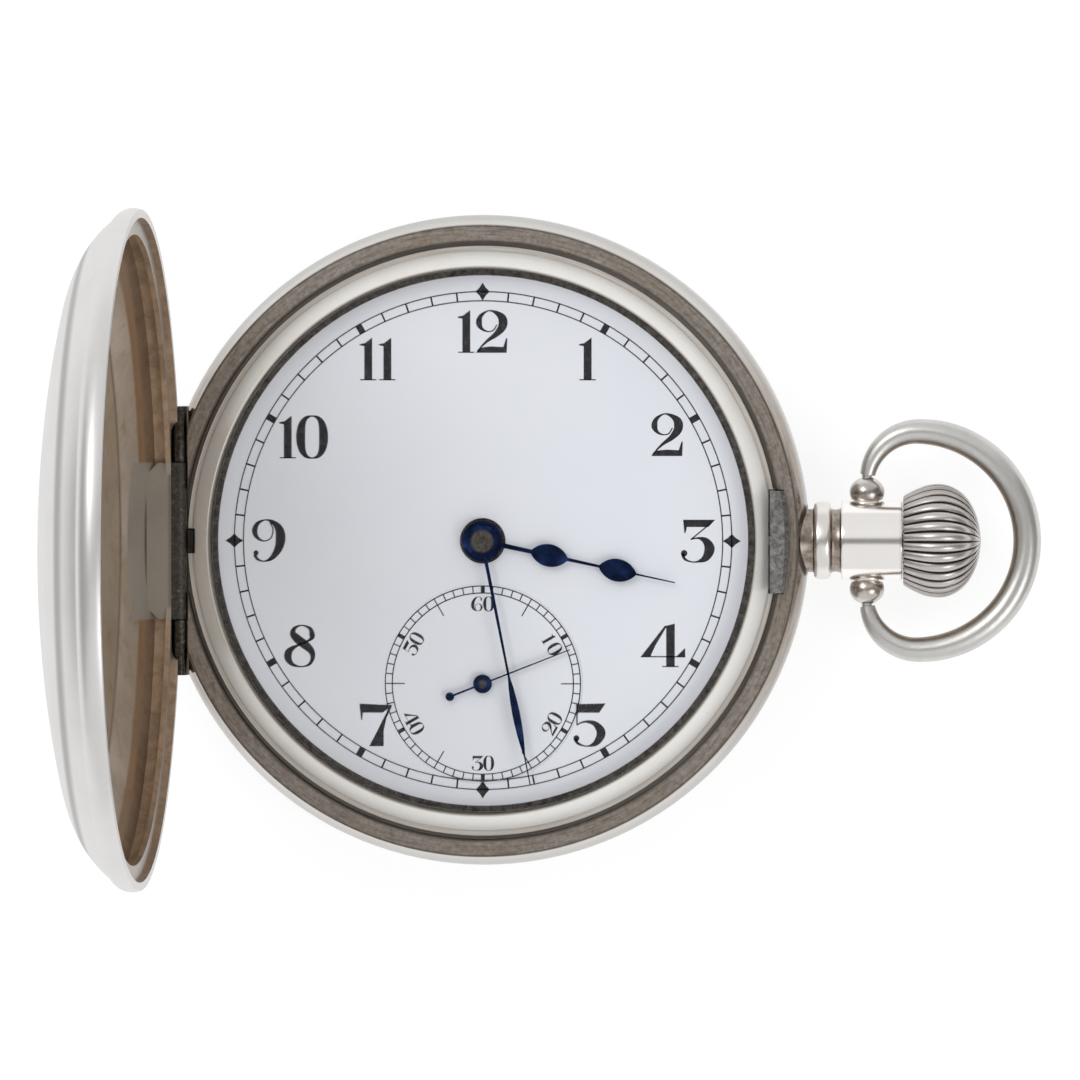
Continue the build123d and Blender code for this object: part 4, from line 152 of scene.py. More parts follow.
# Pendant and crown, along X. Their profiles' points are (x, radius); the crown's x is a share of its length.
STEM_Z = 6.6 * MM
EAR_PLACE = (29.45 * MM, 3.72 * MM)
EAR_RADII = (1.34 * MM, 1.18 * MM, 1.27 * MM)
EAR_SEGMENTS = 40
EAR_RINGS = 24
PENDANT_PROFILE = (
    (23.9, 2.62), (24.5, 2.5), (25.2, 2.42), (25.36, 2.5), (25.42, 2.78), (25.58, 2.92), (25.85, 2.97),
    (26.2, 2.97), (26.47, 2.92), (26.63, 2.78), (26.7, 2.5), (26.9, 2.4), (27.2, 2.4), (27.42, 2.5),
    (27.47, 2.9), (27.56, 3.04), (28.5, 3.05), (30.0, 3.05), (31.4, 3.05), (32.05, 3.04), (32.14, 2.96),
    (32.15, 2.8), (32.15, 1.7),
)
PENDANT_BORE_R = 1.6
CROWN_START = 32.24
CROWN_END = 38.2
CROWN_RIBS = 32
CROWN_PROFILE = (
    (0.0, 3.43), (0.05, 3.62), (0.14, 3.9), (0.28, 4.24), (0.42, 4.38), (0.56, 4.3), (0.70, 3.92),
    (0.82, 3.28), (0.91, 2.4), (0.97, 1.35), (1.0, 0.0),
)
RIB_DEPTH = 0.24
RIB_FULL_R = 2.6
RIB_ROUNDNESS = 0.55
RIB_STEPS = 12
CROWN_BORE_R = 3.15
CROWN_BORE_DEPTH = 0.9
CROWN_STEM_R = 0.62
STEM_END = 36.05
AXIS_R = 0.02
PENDANT_STEPS = 96
PROFILE_STEPS = 5

# Middle of the bow's curve, in millimetres
BOW_MIDDLE = (34.6, 0.0, 6.6)

# Share of the light that goes straight through the glass, unbent
GLASS_CLEARNESS = 0.95

# Camera and light
FRAME_WIDTH = 82.57 * MM
CAMERA_DISTANCE = 510 * MM
CAMERA_TILT_X = 2.45
CAMERA_TILT_Y = 1.7
AIM = Vector((4.46 * MM, 0.11 * MM, 10 * MM))
SENSOR_MM = 36.0
CLIP_START = 10 * MM
# Name, place, size and power
LAMPS = (("left_box", (-0.3, 0.3, 0.62), 0.35, 1.1), ("right_box", (0.4, -0.25, 0.55), 0.3, 0.75))
ROOM_LIGHT = (0.7, 0.7, 0.7)
ROOM_SEEN = (0.8, 0.8, 0.8)
FLOOR_SIZE = 4.0
FLOOR_GAP = 0.02 * MM
FLOOR_GREY = (0.8, 0.8, 0.8)
FLOOR_SHADOW = (0.3, 0.3, 0.3)
FLOOR_GLOW = (0.78, 0.78, 0.78)
ARCH_RADIUS = 0.8
ARCH_TOP_HALF = 0.1
ARCH_FOOT_HALF = 0.5
ARCH_FLARE = 1.5
ARCH_STEPS = 48
ARCH_GREY = (0.26, 0.25, 0.24)


def emptied(owner):
    """The node tree of a material or a world, with nothing in it."""
    owner.use_nodes = True
    owner.node_tree.nodes.clear()
    return owner.node_tree


def blend(tree, share, first, second):
    """The output of two shaders mixed by a share."""
    node = tree.nodes.new("ShaderNodeMixShader")
    for source, socket in zip((share, first, second), node.inputs):
        tree.links.new(source, socket)
    return node.outputs[0]


def coloured(tree, kind, colour):
    """The output of a shader of one colour."""
    node = tree.nodes.new("ShaderNode" + kind)
    node.inputs["Color"].default_value = (*colour, 1.0)
    return node.outputs[0]


class Surface:
    """A material whose nodes are added one by one. Lengths in its textures are millimetres."""

    def __init__(self, name):
        self.material = bpy.data.materials.new(name)
        self.tree = emptied(self.material)
        self.shader = self.node("BsdfPrincipled")
        self.output = self.node("OutputMaterial", Surface=self.shader.outputs[0])
        place = self.node("TexCoord")
        self.normal = place.outputs["Normal"]
        self.place = self.vector("MULTIPLY", place.outputs["Object"], (PER_MM, PER_MM, PER_MM))

    def feed(self, value, socket):
        """Puts a number, a colour or another node's output into a socket."""
        if isinstance(value, bpy.types.NodeSocket):
            self.tree.links.new(value, socket)
        elif isinstance(value, tuple) and len(value) == 3 and len(socket.default_value) == 4:
            socket.default_value = (*value, 1.0)
        else:
            socket.default_value = value

    def node(self, kind, *values, operation=None, **named):
        """A node of a kind, with its inputs fed in their order or by name, underscores for spaces."""
        node = self.tree.nodes.new("ShaderNode" + kind)
        if operation:
            node.operation = operation
        for socket, value in zip(node.inputs, values):
            self.feed(value, socket)
        for name, value in named.items():
            self.feed(value, node.inputs[name.replace("_", " ")])
        return node

    def set(self, **values):
        """Sets the shader's inputs, whose names have underscores for spaces. Gives the material."""
        for name, value in values.items():
            self.feed(value, self.shader.inputs[name.replace("_", " ")])
        return self.material

    def math(self, operation, *values):
        """What a math node makes of one or two values."""
        return self.node("Math", *values, operation=operation).outputs[0]

    def vector(self, operation, first, second):
        """The vector that a vector math node makes of two."""
        return self.node("VectorMath", first, second, operation=operation).outputs["Vector"]

    def times(self, *values):
        """The product of two or more values."""
        product = values[0]
        for value in values[1:]:
            product = self.math("MULTIPLY", product, value)
        return product

    def most(self, first, second):
        """The larger of two values."""
        return self.math("MAXIMUM", first, second)

    def missing(self, share):
        """What a share lacks to one."""
        return self.math("SUBTRACT", 1.0, share)

    def part(self, axis, of=None):
        """One part of a vector: the place in millimetres, or the given vector."""
        return self.node("SeparateXYZ", of or self.place).outputs[axis]

    def past(self, axis, start):
        """How far the place lies past a start along an axis."""
        return self.math("SUBTRACT", self.part(axis), start)

    def apart(self, axis, middle=0.0):
        """How far the place lies from a middle along an axis, either way."""
        return self.math("ABSOLUTE", self.past(axis, middle))

    def radius(self, axes, centre):
        """Distance from an axis, given by the two directions across it and its place in them."""
        sides = [self.past(axis, middle) for axis, middle in zip(axes, centre)]
        return self.math("SQRT", self.math("ADD", *[self.times(side, side) for side in sides]))

    def stretched(self, scales):
        """The place, scaled by its own factor along each axis."""
        return self.vector("MULTIPLY", self.place, scales)

    def polar(self, centre, turns, radial):
        """Radius, angle and height about an upright axis, for grain that runs round it."""
        angle = self.math("ARCTAN2", self.past("Y", centre[1]), self.past("X", centre[0]))
        radius = self.times(self.radius("XY", centre), radial)
        return self.node("CombineXYZ", radius, self.times(angle, turns), self.part("Z")).outputs[0]

    def outward(self, centre):
        """How far the surface faces away from a place: below zero where it faces it, times the distance."""
        arm = self.vector("SUBTRACT", self.place, centre)
        return self.node("VectorMath", self.normal, arm, operation="DOT_PRODUCT").outputs["Value"]

    def sides(self, low, high):
        """Zero on a surface that faces up or down, and one on an upright side: the mask for painted shade on
        upright sides.
        """
        return self.missing(self.between(self.math("ABSOLUTE", self.part("Z", self.normal)), low, high))

    def noise(self, scale, detail=4.0, roughness=0.55, at=None, distortion=0.0):
        """Noise with so many features to a millimetre."""
        return self.node("TexNoise", Vector=at or self.place, Scale=scale, Detail=detail, Roughness=roughness,
                         Distortion=distortion).outputs["Fac"]

    def spots(self, scale):
        """Distance to the nearest of a scatter of points."""
        return self.node("TexVoronoi", Vector=self.place, Scale=scale).outputs["Distance"]

    def ramp(self, share, *stops):
        """A blend through stops of (share, colour)."""
        node = self.node("ValToRGB", share)
        while len(node.color_ramp.elements) < len(stops):
            node.color_ramp.elements.new(1.0)
        for element, (place, colour) in zip(node.color_ramp.elements, stops):
            element.position = place
            element.color = (*colour, 1.0)
        return node.outputs[0]

    def between(self, value, low, high, first=0.0, last=1.0):
        """A number that goes from first to last as value goes from low to high."""
        return self.node("MapRange", value, low, high, first, last).outputs[0]

    def under(self, value, low, high):
        """One under low, zero over high."""
        return self.between(value, low, high, 1.0, 0.0)

    def mix(self, share, first, second):
        """A blend of two colours."""
        node = self.tree.nodes.new("ShaderNodeMix")
        node.data_type = "RGBA"
        for value, index in ((share, 0), (first, 6), (second, 7)):
            self.feed(value, node.inputs[index])
        return node.outputs[2]

    def patched(self, colour, other, noise, low, high, amount):
        """A colour with another laid over it, up to an amount, as noise goes from low to high."""
        return self.mix(self.between(noise, low, high, 0.0, amount), colour, other)

    def bump(self, height, strength, depth):
        """Relief of the given depth in millimetres."""
        return self.node("Bump", Height=height, Strength=strength, Distance=depth * MM).outputs[0]

    def scratches(self, amount):
        """Fine hairlines in three directions, as a bump."""
        hairs = [self.noise(2.2, 3.0, 0.7, at=self.stretched(along), distortion=0.4)
                 for along in ((9.0, 0.5, 9.0), (0.6, 9.0, 0.6), (5.0, 5.0, 0.5))]
        return self.bump(self.math("ADD", self.math("ADD", hairs[0], hairs[1]), hairs[2]), amount, 0.02)


POLISHED = (0.80, 0.785, 0.765)
WARM = (0.66, 0.615, 0.55)
# Painted shade, laid on upright metal sides
SHADED = (0.36, 0.345, 0.325)
TARNISH = (0.20, 0.165, 0.13)
TAN = (0.40, 0.325, 0.245)
RUST = (0.27, 0.16, 0.085)
SOOT = (0.035, 0.03, 0.026)


def ring_silver():
    """Bright silver with warm patches and hairlines, and painted shade that makes its upright sides duller.
    """
    s = Surface("ring_silver")
    warm = s.patched(POLISHED, WARM, s.noise(0.22, 5.0, 0.6), 0.42, 0.72, 0.3)
    # Painted shade: upright sides get the shaded colour, as if they faced away from the light.
    warm = s.mix(s.times(s.sides(0.1, 0.75), 0.7), warm, SHADED)
    return s.set(
        Base_Color=s.patched(warm, TARNISH, s.noise(3.0, 4.0, 0.6), 0.62, 0.8, 0.075),
        Metallic=1.0,
        Roughness=s.between(s.noise(0.8, 4.0, 0.6), 0.3, 0.7, 0.14, 0.24),
        Normal=s.scratches(0.05),
    )


def flat_dirt_and_shade(s, radius, grain, pitted, streaks):
    """The colour of the flat that the closed cover meets: pitted, stained and streaked, with painted shade
    darkening the creases at its edges.
    """
    dull = s.ramp(grain, (0.2, (0.15, 0.13, 0.11)), (0.48, (0.33, 0.295, 0.26)), (0.8, (0.5, 0.465, 0.42)))
    dull = s.mix(pitted, dull, (0.07, 0.06, 0.05))
    stains = s.noise(0.8, at=s.polar((0, 0), 3.0, 0.3))
    dull = s.patched(dull, (0.27, 0.2, 0.14), stains, 0.4, 0.75, 0.45)
    dull = s.patched(dull, (0.1, 0.08, 0.065), streaks, 0.5, 0.72, 0.75)
    dull = s.mix(s.between(streaks, 0.3, 0.42, 0.5, 0.0), dull, (0.62, 0.585, 0.54))
    # Painted shade: near-black lines at the flat's outer and inner edges, where it meets the bead and the
    # groove.
    edge = s.most(s.between(radius, *FLAT_OUTER_EDGE), s.under(radius, *FLAT_INNER_EDGE))
    return s.mix(s.times(edge, 0.8), dull, (0.09, 0.075, 0.06))


def band_silver():
    """The case band: a bright outer bead, and the dull pitted flat that the closed cover meets."""
    s = Surface("band_silver")
    radius = s.radius("XY", (0, 0))
    height = s.part("Z")
    flat = s.times(s.under(radius, *BEAD_INNER_EDGE), s.between(height, *BAND_TOP))
    grain = s.noise(2.4, 8.0, 0.72)
    pitted = s.times(s.under(s.spots(3.2), 0.06, 0.2), s.between(s.noise(0.5), 0.42, 0.6))
    streaks = s.noise(1.0, 6.0, 0.7, at=s.polar((0, 0), 9.0, 5.0))
    dull = flat_dirt_and_shade(s, radius, grain, pitted, streaks)

    bright = s.patched(POLISHED, WARM, s.noise(0.3), 0.4, 0.75, 0.3)
    # Painted shade: the bead's and band's upright sides get the shaded colour, darker than faces that look
    # up.
    bright = s.mix(s.sides(0.1, 0.8), bright, SHADED)
    ends = s.between(s.math("ABSOLUTE", s.math("DIVIDE", s.part("X"), radius)), *BAND_END_SHARE)
    ends = s.times(ends, s.between(height, *BAND_END_HEIGHT), s.between(streaks, 0.35, 0.65, 0.95, 0.55))
    bright = s.mix(ends, bright, (0.3, 0.25, 0.205))

    hinge = s.times(s.under(s.part("X"), *HINGE_FACE), s.between(height, *HINGE_FOOT),
                    s.under(s.apart("Y"), *HINGE_HALF_LENGTH))
    dark = s.ramp(s.noise(4.0, 6.0, 0.75), (0.35, (0.03, 0.028, 0.025)), (0.6, (0.14, 0.125, 0.105)),
                  (0.74, (0.62, 0.6, 0.56)))
    relief = s.times(s.math("SUBTRACT", grain, pitted), s.between(flat, 0, 1, 0.06, 1.0))
    return s.set(
        Base_Color=s.mix(hinge, s.mix(flat, bright, dull), dark),
        Metallic=1.0,
        Roughness=s.math("ADD", s.between(flat, 0, 1, 0.15, 0.33), s.between(grain, 0.3, 0.7, 0.0, 0.12)),
        Normal=s.bump(relief, 0.35, 0.06),
    )


def pendant_silver():
    """The pendant: bright barrel and collar, with brown tarnish in the grooves, and the balls brown with
    tarnish and painted dark reflection, darkest at their feet.
    """
    s = Surface("pendant_silver")
    reach = s.radius("YZ", (0.0, PER_MM * STEM_Z))
    along = s.part("X")
    groove = s.times(s.under(reach, *NECK_GROOVE), s.under(along, *BARREL_END))
    # The balls: brown tarnish with painted dark reflection, darkest where they meet the barrel.
    ear = s.times(s.between(reach, *EAR_FOOT), s.between(reach, *EAR_REACH, 1.0, 0.55))
    dirt_and_shade = s.most(groove, ear)
    cloud = s.noise(1.2, 6.0, 0.7)
    bright = s.patched((0.98, 0.955, 0.93), (0.85, 0.8, 0.74), s.noise(0.4), 0.45, 0.75, 0.25)
    bright = s.patched(bright, TAN, s.apart("X", BARREL_MIDDLE), *BARREL_HALF_LENGTH, 0.25)
    dark = s.ramp(cloud, (0.3, (0.07, 0.052, 0.04)), (0.7, (0.33, 0.25, 0.18)))
    return s.set(
        Base_Color=s.mix(s.times(dirt_and_shade, s.between(cloud, 0.25, 0.6, 1.0, 0.7)), bright, dark),
        Metallic=1.0,
        Roughness=s.between(s.most(dirt_and_shade, s.between(along, *COLLAR_END, 0.8, 0.0)), 0, 1, 0.17, 0.3),
        Normal=s.scratches(0.04),
    )


def bow_silver():
    """The bow: a rubbed round wire, brown on its inner side, the side that faces the bow's middle."""
    s = Surface("bow_silver")
    facing = s.math("DIVIDE", s.outward(BOW_MIDDLE), s.radius("XY", BOW_MIDDLE[:2]))
    cloud = s.noise(0.6, 6.0, 0.7)
    bright = s.patched((0.66, 0.65, 0.63), (0.52, 0.5, 0.465), cloud, 0.4, 0.75, 0.5)
    brown = s.ramp(cloud, (0.35, (0.2, 0.14, 0.095)), (0.7, (0.4, 0.32, 0.24)))
    return s.set(
        Base_Color=s.mix(s.times(s.under(facing, -0.72, -0.5), 0.85), bright, brown),
        Metallic=0.9,
        Roughness=s.between(cloud, 0.35, 0.65, 0.3, 0.38),
        Normal=s.scratches(0.05),
    )


def crown_silver():
    """The crown: rubbed ribs, with painted shade, nearly black, in the grooves between them."""
    s = Surface("crown_silver")
    angle = s.math("ARCTAN2", s.past("Z", PER_MM * STEM_Z), s.part("Y"))
    wave = s.math("ABSOLUTE", s.math("SINE", s.times(angle, CROWN_RIBS / 2)))
    cloud = s.noise(0.7, 5.0, 0.65)
    ribs = s.patched((0.66, 0.635, 0.62), (0.52, 0.47, 0.43), cloud, 0.35, 0.7, 0.5)
    return s.set(
        # Painted shade: the grooves between the ribs, found from the angle round the stem, are nearly black.
        Base_Color=s.mix(s.under(wave, 0.22, 0.62), ribs, (0.022, 0.018, 0.016)),
        Metallic=1.0,
        Roughness=s.between(cloud, 0.3, 0.7, 0.28, 0.38),
        Normal=s.scratches(0.04),
    )


def bezel_silver():
    """The bezel: a bright sloping face with painted shadow at its inner edge by the crystal, and a duller
    brown step outside it.
    """
    s = Surface("bezel_silver")
    radius = s.radius("XY", (0, 0))
    step = s.between(radius, *BEZEL_STEP)
    grain = s.noise(1.6, 6.0, 0.7, at=s.polar((0, 0), 2.0, 6.0))
    dull = s.ramp(grain, (0.25, (0.5, 0.45, 0.39)), (0.7, (0.86, 0.82, 0.76)))
    bright = s.patched((0.97, 0.955, 0.92), (0.88, 0.83, 0.74), s.noise(0.25, 3.0), 0.45, 0.75, 0.4)
    bright = s.patched(bright, (0.42, 0.38, 0.32), s.noise(3.4, 6.0, 0.7), 0.64, 0.74, 0.6)
    # Painted shadow: the inner wall and edge next to the crystal are darkened, for the shadow in the gap
    # round the dial.
    bright = s.mix(s.under(radius, *BEZEL_INNER_EDGE), bright, (0.2, 0.17, 0.14))
    return s.set(
        Base_Color=s.mix(step, bright, dull),
        Metallic=s.between(step, 0, 1, 0.15, 0.4),
        Roughness=s.between(step, 0, 1, 0.3, 0.36),
        Normal=s.bump(grain, 0.1, 0.04),
    )


def cover_inside(s, radius, outward, clouds):
    """The colour inside a cover: tan, stained in rings, and redder up its wall."""
    stain = s.noise(0.5, 7.0, 0.7, distortion=0.6)
    rings = s.ramp(
        s.between(radius, *COVER_RINGS),
        (0.0, (0.5, 0.41, 0.31)), (0.46, (0.54, 0.44, 0.33)), (0.5, (0.24, 0.17, 0.11)),
        (0.54, (0.6, 0.52, 0.43)), (0.84, (0.56, 0.475, 0.38)), (0.88, (0.36, 0.2, 0.1)),
        (0.96, (0.44, 0.27, 0.15)), (1.0, (0.2, 0.12, 0.07)),
    )
    stained = s.patched(rings, (0.33, 0.25, 0.175), clouds, 0.35, 0.7, 0.65)
    stained = s.patched(stained, RUST, stain, 0.5, 0.74, 0.6)
    wall = s.times(s.under(outward, *COVER_WALL), s.between(stain, 0.4, 0.6, 0.3, 0.75))
    return s.mix(wall, stained, (0.6, 0.44, 0.31))


def hinge_colours(s, colour, inside, clouds):
    """The colour with the cover's hinge in it: the grey plate inside and the dirty knuckles under it."""
    height = s.part("Z")
    plate = s.times(s.under(height, *PLATE_TOP), s.under(s.apart("Y"), *PLATE_HALF_LENGTH), inside)
    colour = s.mix(plate, colour, s.mix(clouds, (0.3, 0.265, 0.225), (0.5, 0.455, 0.4)))
    knuckles = s.times(s.under(height, *KNUCKLE_TOP), s.under(s.apart("Y"), *HINGE_HALF_LENGTH),
                       s.between(s.part("X"), *KNUCKLE_FACE))
    specks = s.ramp(s.noise(4.0, 6.0, 0.75), (0.35, SOOT), (0.62, (0.1, 0.09, 0.075)),
                    (0.74, (0.6, 0.58, 0.54)))
    return s.mix(knuckles, colour, specks)


def cover_silver(name, centre, axes, hinged=False):
    """A cover: polished and slightly rubbed outside and on its lip, stained inside.

    Its centre is the middle of its open side, and the axes are the two across it.
    """
    s = Surface(name)
    radius = s.radius(axes, [centre["XYZ".index(axis)] for axis in axes])
    outward = s.outward(centre)
    inside = s.under(outward, *COVER_INSIDE)
    clouds = s.noise(0.16, 6.0, 0.62)
    outside = s.patched((0.75, 0.74, 0.73), (0.62, 0.6, 0.57), s.noise(0.2, 5.0, 0.6), 0.45, 0.75, 0.3)
    seam = s.math("ABSOLUTE", s.math("SUBTRACT", radius, SEAM_RADIUS))
    outside = s.mix(s.between(seam, 0.15, 0.6, 0.7, 0.0), outside, (0.3, 0.28, 0.265))
    colour = s.mix(inside, outside, cover_inside(s, radius, outward, clouds))
    if hinged:
        colour = hinge_colours(s, colour, inside, clouds)
    return s.set(
        Base_Color=colour,
        Metallic=s.between(inside, 0, 1, 0.8, 0.5),
        Roughness=s.between(inside, 0, 1, 0.38, 0.36),
        Normal=s.bump(s.noise(2.2, 5.0, 0.65), s.between(inside, 0, 1, 0.02, 0.1), 0.03),
    )


def flat_steel(name, lightness, rough, mottle):
    """Bare steel with a directional grain and grey patches."""
    s = Surface(name)
    grain = s.noise(4.0, 5.0, 0.65, at=s.stretched((0.5, 5.0, 0.5)))
    cloud = s.noise(0.9, 7.0, 0.75)
    pale = (0.66 * lightness + 0.3, 0.65 * lightness + 0.29, 0.63 * lightness + 0.28)
    deep = tuple(channel * (1 - mottle) for channel in pale)
    return s.set(
        Base_Color=s.mix(s.between(cloud, 0.38, 0.68), deep, pale),
        Metallic=1.0,
        Roughness=s.between(grain, 0.3, 0.7, rough - 0.06, rough + 0.1),
        Normal=s.bump(s.math("ADD", grain, cloud), 0.18, 0.02),
    )


def worn_catch():
    """The catch's head: grey, rough and bruised where the cover has snapped over it."""
    s = Surface("worn_catch")
    cloud = s.noise(1.7, 9.0, 0.8, distortion=0.5)
    return s.set(
        Base_Color=s.ramp(cloud, (0.3, (0.04, 0.038, 0.036)), (0.46, (0.17, 0.165, 0.16)),
                          (0.6, (0.32, 0.315, 0.305)), (0.75, (0.7, 0.69, 0.67))),
        Metallic=1.0,
        Roughness=s.between(cloud, 0.3, 0.7, 0.45, 0.3),
        Normal=s.bump(cloud, 0.5, 0.12),
    )


def blued_steel(name, centre=None, eye=0.85):
    """Steel blued by heat, almost black, and worn grey within the eye's radius of a centre."""
    s = Surface(name)
    cloud = s.noise(0.8, 3.0, 0.5)
    colour = s.ramp(cloud, (0.3, (0.008, 0.013, 0.035)), (0.55, (0.012, 0.025, 0.085)),
                    (0.75, (0.03, 0.065, 0.2)))
    if centre:
        worn = s.ramp(s.noise(2.5, 5.0, 0.7), (0.3, (0.05, 0.045, 0.042)), (0.7, (0.2, 0.18, 0.155)))
        colour = s.mix(s.under(s.radius("XY", centre), eye - 0.1, eye + 0.1), colour, worn)
    return s.set(
        Base_Color=colour,
        Metallic=1.0,
        Roughness=s.between(cloud, 0.3, 0.7, 0.24, 0.34),
        Normal=s.scratches(0.03),
    )


def white_enamel():
    """Fired enamel: cool white, glossy, with a trace of waviness and cloud."""
    s = Surface("white_enamel")
    cloud = s.noise(0.12, 4.0, 0.5)
    return s.set(
        Base_Color=s.ramp(cloud, (0.3, (0.85, 0.882, 0.95)), (0.7, (0.872, 0.9, 0.96))),
        Roughness=0.14,
        Coat_Weight=0.5,
        Coat_Roughness=0.05,
        Normal=s.bump(s.noise(0.35, 2.0), 0.12, 0.05),
    )


def ink(name, colour):
    """Fired ink, thinner in places as on an old dial."""
    s = Surface(name)
    thin = s.noise(2.2, 5.0, 0.6)
    paler = tuple(channel + 0.07 for channel in colour)
    return s.set(
        Base_Color=s.patched(colour, paler, thin, 0.5, 0.8, 0.6),
        Roughness=0.24,
        Normal=s.bump(thin, 0.1, 0.01),
    )


def gilt(name, centre=None, dirt_and_shade=None):
    """Gilded brass: frosted, or with a grain round its own axis where a centre is given.

    The last argument is the pair of radii between which painted shade comes or goes: a near-black colour that
    stands in for shadow in a gap or a recess.
    """
    s = Surface(name)
    frost = s.noise(7.0, 3.0, 0.7)
    grain = s.noise(1.5, 5.0, 0.6, at=s.polar(centre, 0.6, 9.0) if centre else None)
    colour = s.ramp(grain, (0.3, (0.72, 0.50, 0.20)), (0.6, (0.86, 0.64, 0.30)), (0.8, (0.93, 0.75, 0.42)))
    # Painted shade: near-black between the given radii, where a gap or a recess would be in shadow.
    if dirt_and_shade:
        painted_shade = s.ramp(s.noise(2.0, 5.0, 0.7), (0.3, (0.07, 0.062, 0.058)), (0.7, (0.27, 0.25, 0.235)))
        colour = s.mix(s.between(s.radius("XY", (0, 0)), *dirt_and_shade), colour, painted_shade)
    return s.set(
        Base_Color=colour,
        Metallic=1.0,
        Roughness=s.between(frost, 0.3, 0.7, 0.24, 0.38),
        Normal=s.bump(s.math("ADD", frost, grain), 0.2, 0.015),
    )


def ruby():
    """Pink synthetic ruby, cloudy inside and glossy outside."""
    s = Surface("ruby_red")
    return s.set(
        Base_Color=s.ramp(s.noise(2.0, 3.0), (0.3, (0.45, 0.015, 0.05)), (0.7, (0.72, 0.06, 0.12))),
        Roughness=0.06,
        IOR=1.76,
        Transmission_Weight=0.35,
        Coat_Weight=0.4,
    )


def clear_glass():
    """Glass that lets soft light through without a hard shadow, with faint wipe marks."""
    s = Surface("clear_glass")
    marks = s.noise(0.6, 5.0, 0.6, at=s.stretched((1.0, 0.25, 1.0)))
    s.set(
        Base_Color=(1.0, 1.0, 1.0),
        Roughness=s.between(marks, 0.45, 0.8, 0.0, 0.05),
        IOR=1.45,
        Transmission_Weight=1.0,
    )
    path = s.node("LightPath").outputs
    passing = s.most(s.most(path["Is Shadow Ray"], path["Is Diffuse Ray"]), GLASS_CLEARNESS)
    clear = s.node("BsdfTransparent").outputs[0]
    s.feed(blend(s.tree, passing, s.shader.outputs[0], clear), s.output.inputs["Surface"])
    return s.material


def dress(material, *names):
    """Gives CAD nodes a material in every slot."""
    for name in names:
        for slot in nodes[name].material_slots:
            slot.material = material


def middle(name):
    """A node's middle in plan, in millimetres."""
    low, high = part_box(name)
    return (PER_MM * (low.x + high.x) / 2, PER_MM * (low.y + high.y) / 2)


def linked(name, data):
    """An object of the given data, in the scene."""
    thing = bpy.data.objects.new(name, data)
    bpy.context.scene.collection.objects.link(thing)
    return thing


def new_piece(name, mesh_maker, material, body, smooth=False):
    """A mesh object made by a function that fills a bmesh."""
    mesh = bpy.data.meshes.new(name)
    build = bmesh.new()
    mesh_maker(build)
    bmesh.ops.recalc_face_normals(build, faces=build.faces)
    build.to_mesh(mesh)
    build.free()
    for face in mesh.polygons:
        face.use_smooth = smooth
    mesh.materials.append(material)
    piece = linked(name, mesh)
    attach(piece, body)
    return piece


# Numerals: every glyph is one high, with its foot on zero and its middle at zero.
# A block is a list of corners, a stroke or ring a list of (x, y, width) that a smooth line runs through,
# and a dot is (x, y, radius).
SERIF = 0.026
SERIF_TOP = 1 - SERIF
THIN = 0.03
NOUGHT_SWELL = 0.18
NOUGHT_SWELL_POWER = 1.3
NOUGHT_HALF_WIDTH = 0.375
NOUGHT_HALF_HEIGHT = 0.4925
NOUGHT_POINTS = 28


def serif(left, right, low=0.0):
    """A thin bar whose lower edge is on the base line, or at the given height."""
    return [(left, low), (right, low), (right, low + SERIF), (left, low + SERIF)]


def oval():
    """The ring of a nought, thick at its sides."""
    points = []
    for step in range(NOUGHT_POINTS):
        angle = FULL_TURN * step / NOUGHT_POINTS
        width = THIN + NOUGHT_SWELL * abs(cos(angle)) ** NOUGHT_SWELL_POWER
        x = (NOUGHT_HALF_WIDTH - width / 2) * cos(angle)
        points.append((x, 0.5 + NOUGHT_HALF_HEIGHT * sin(angle), width))
    return points


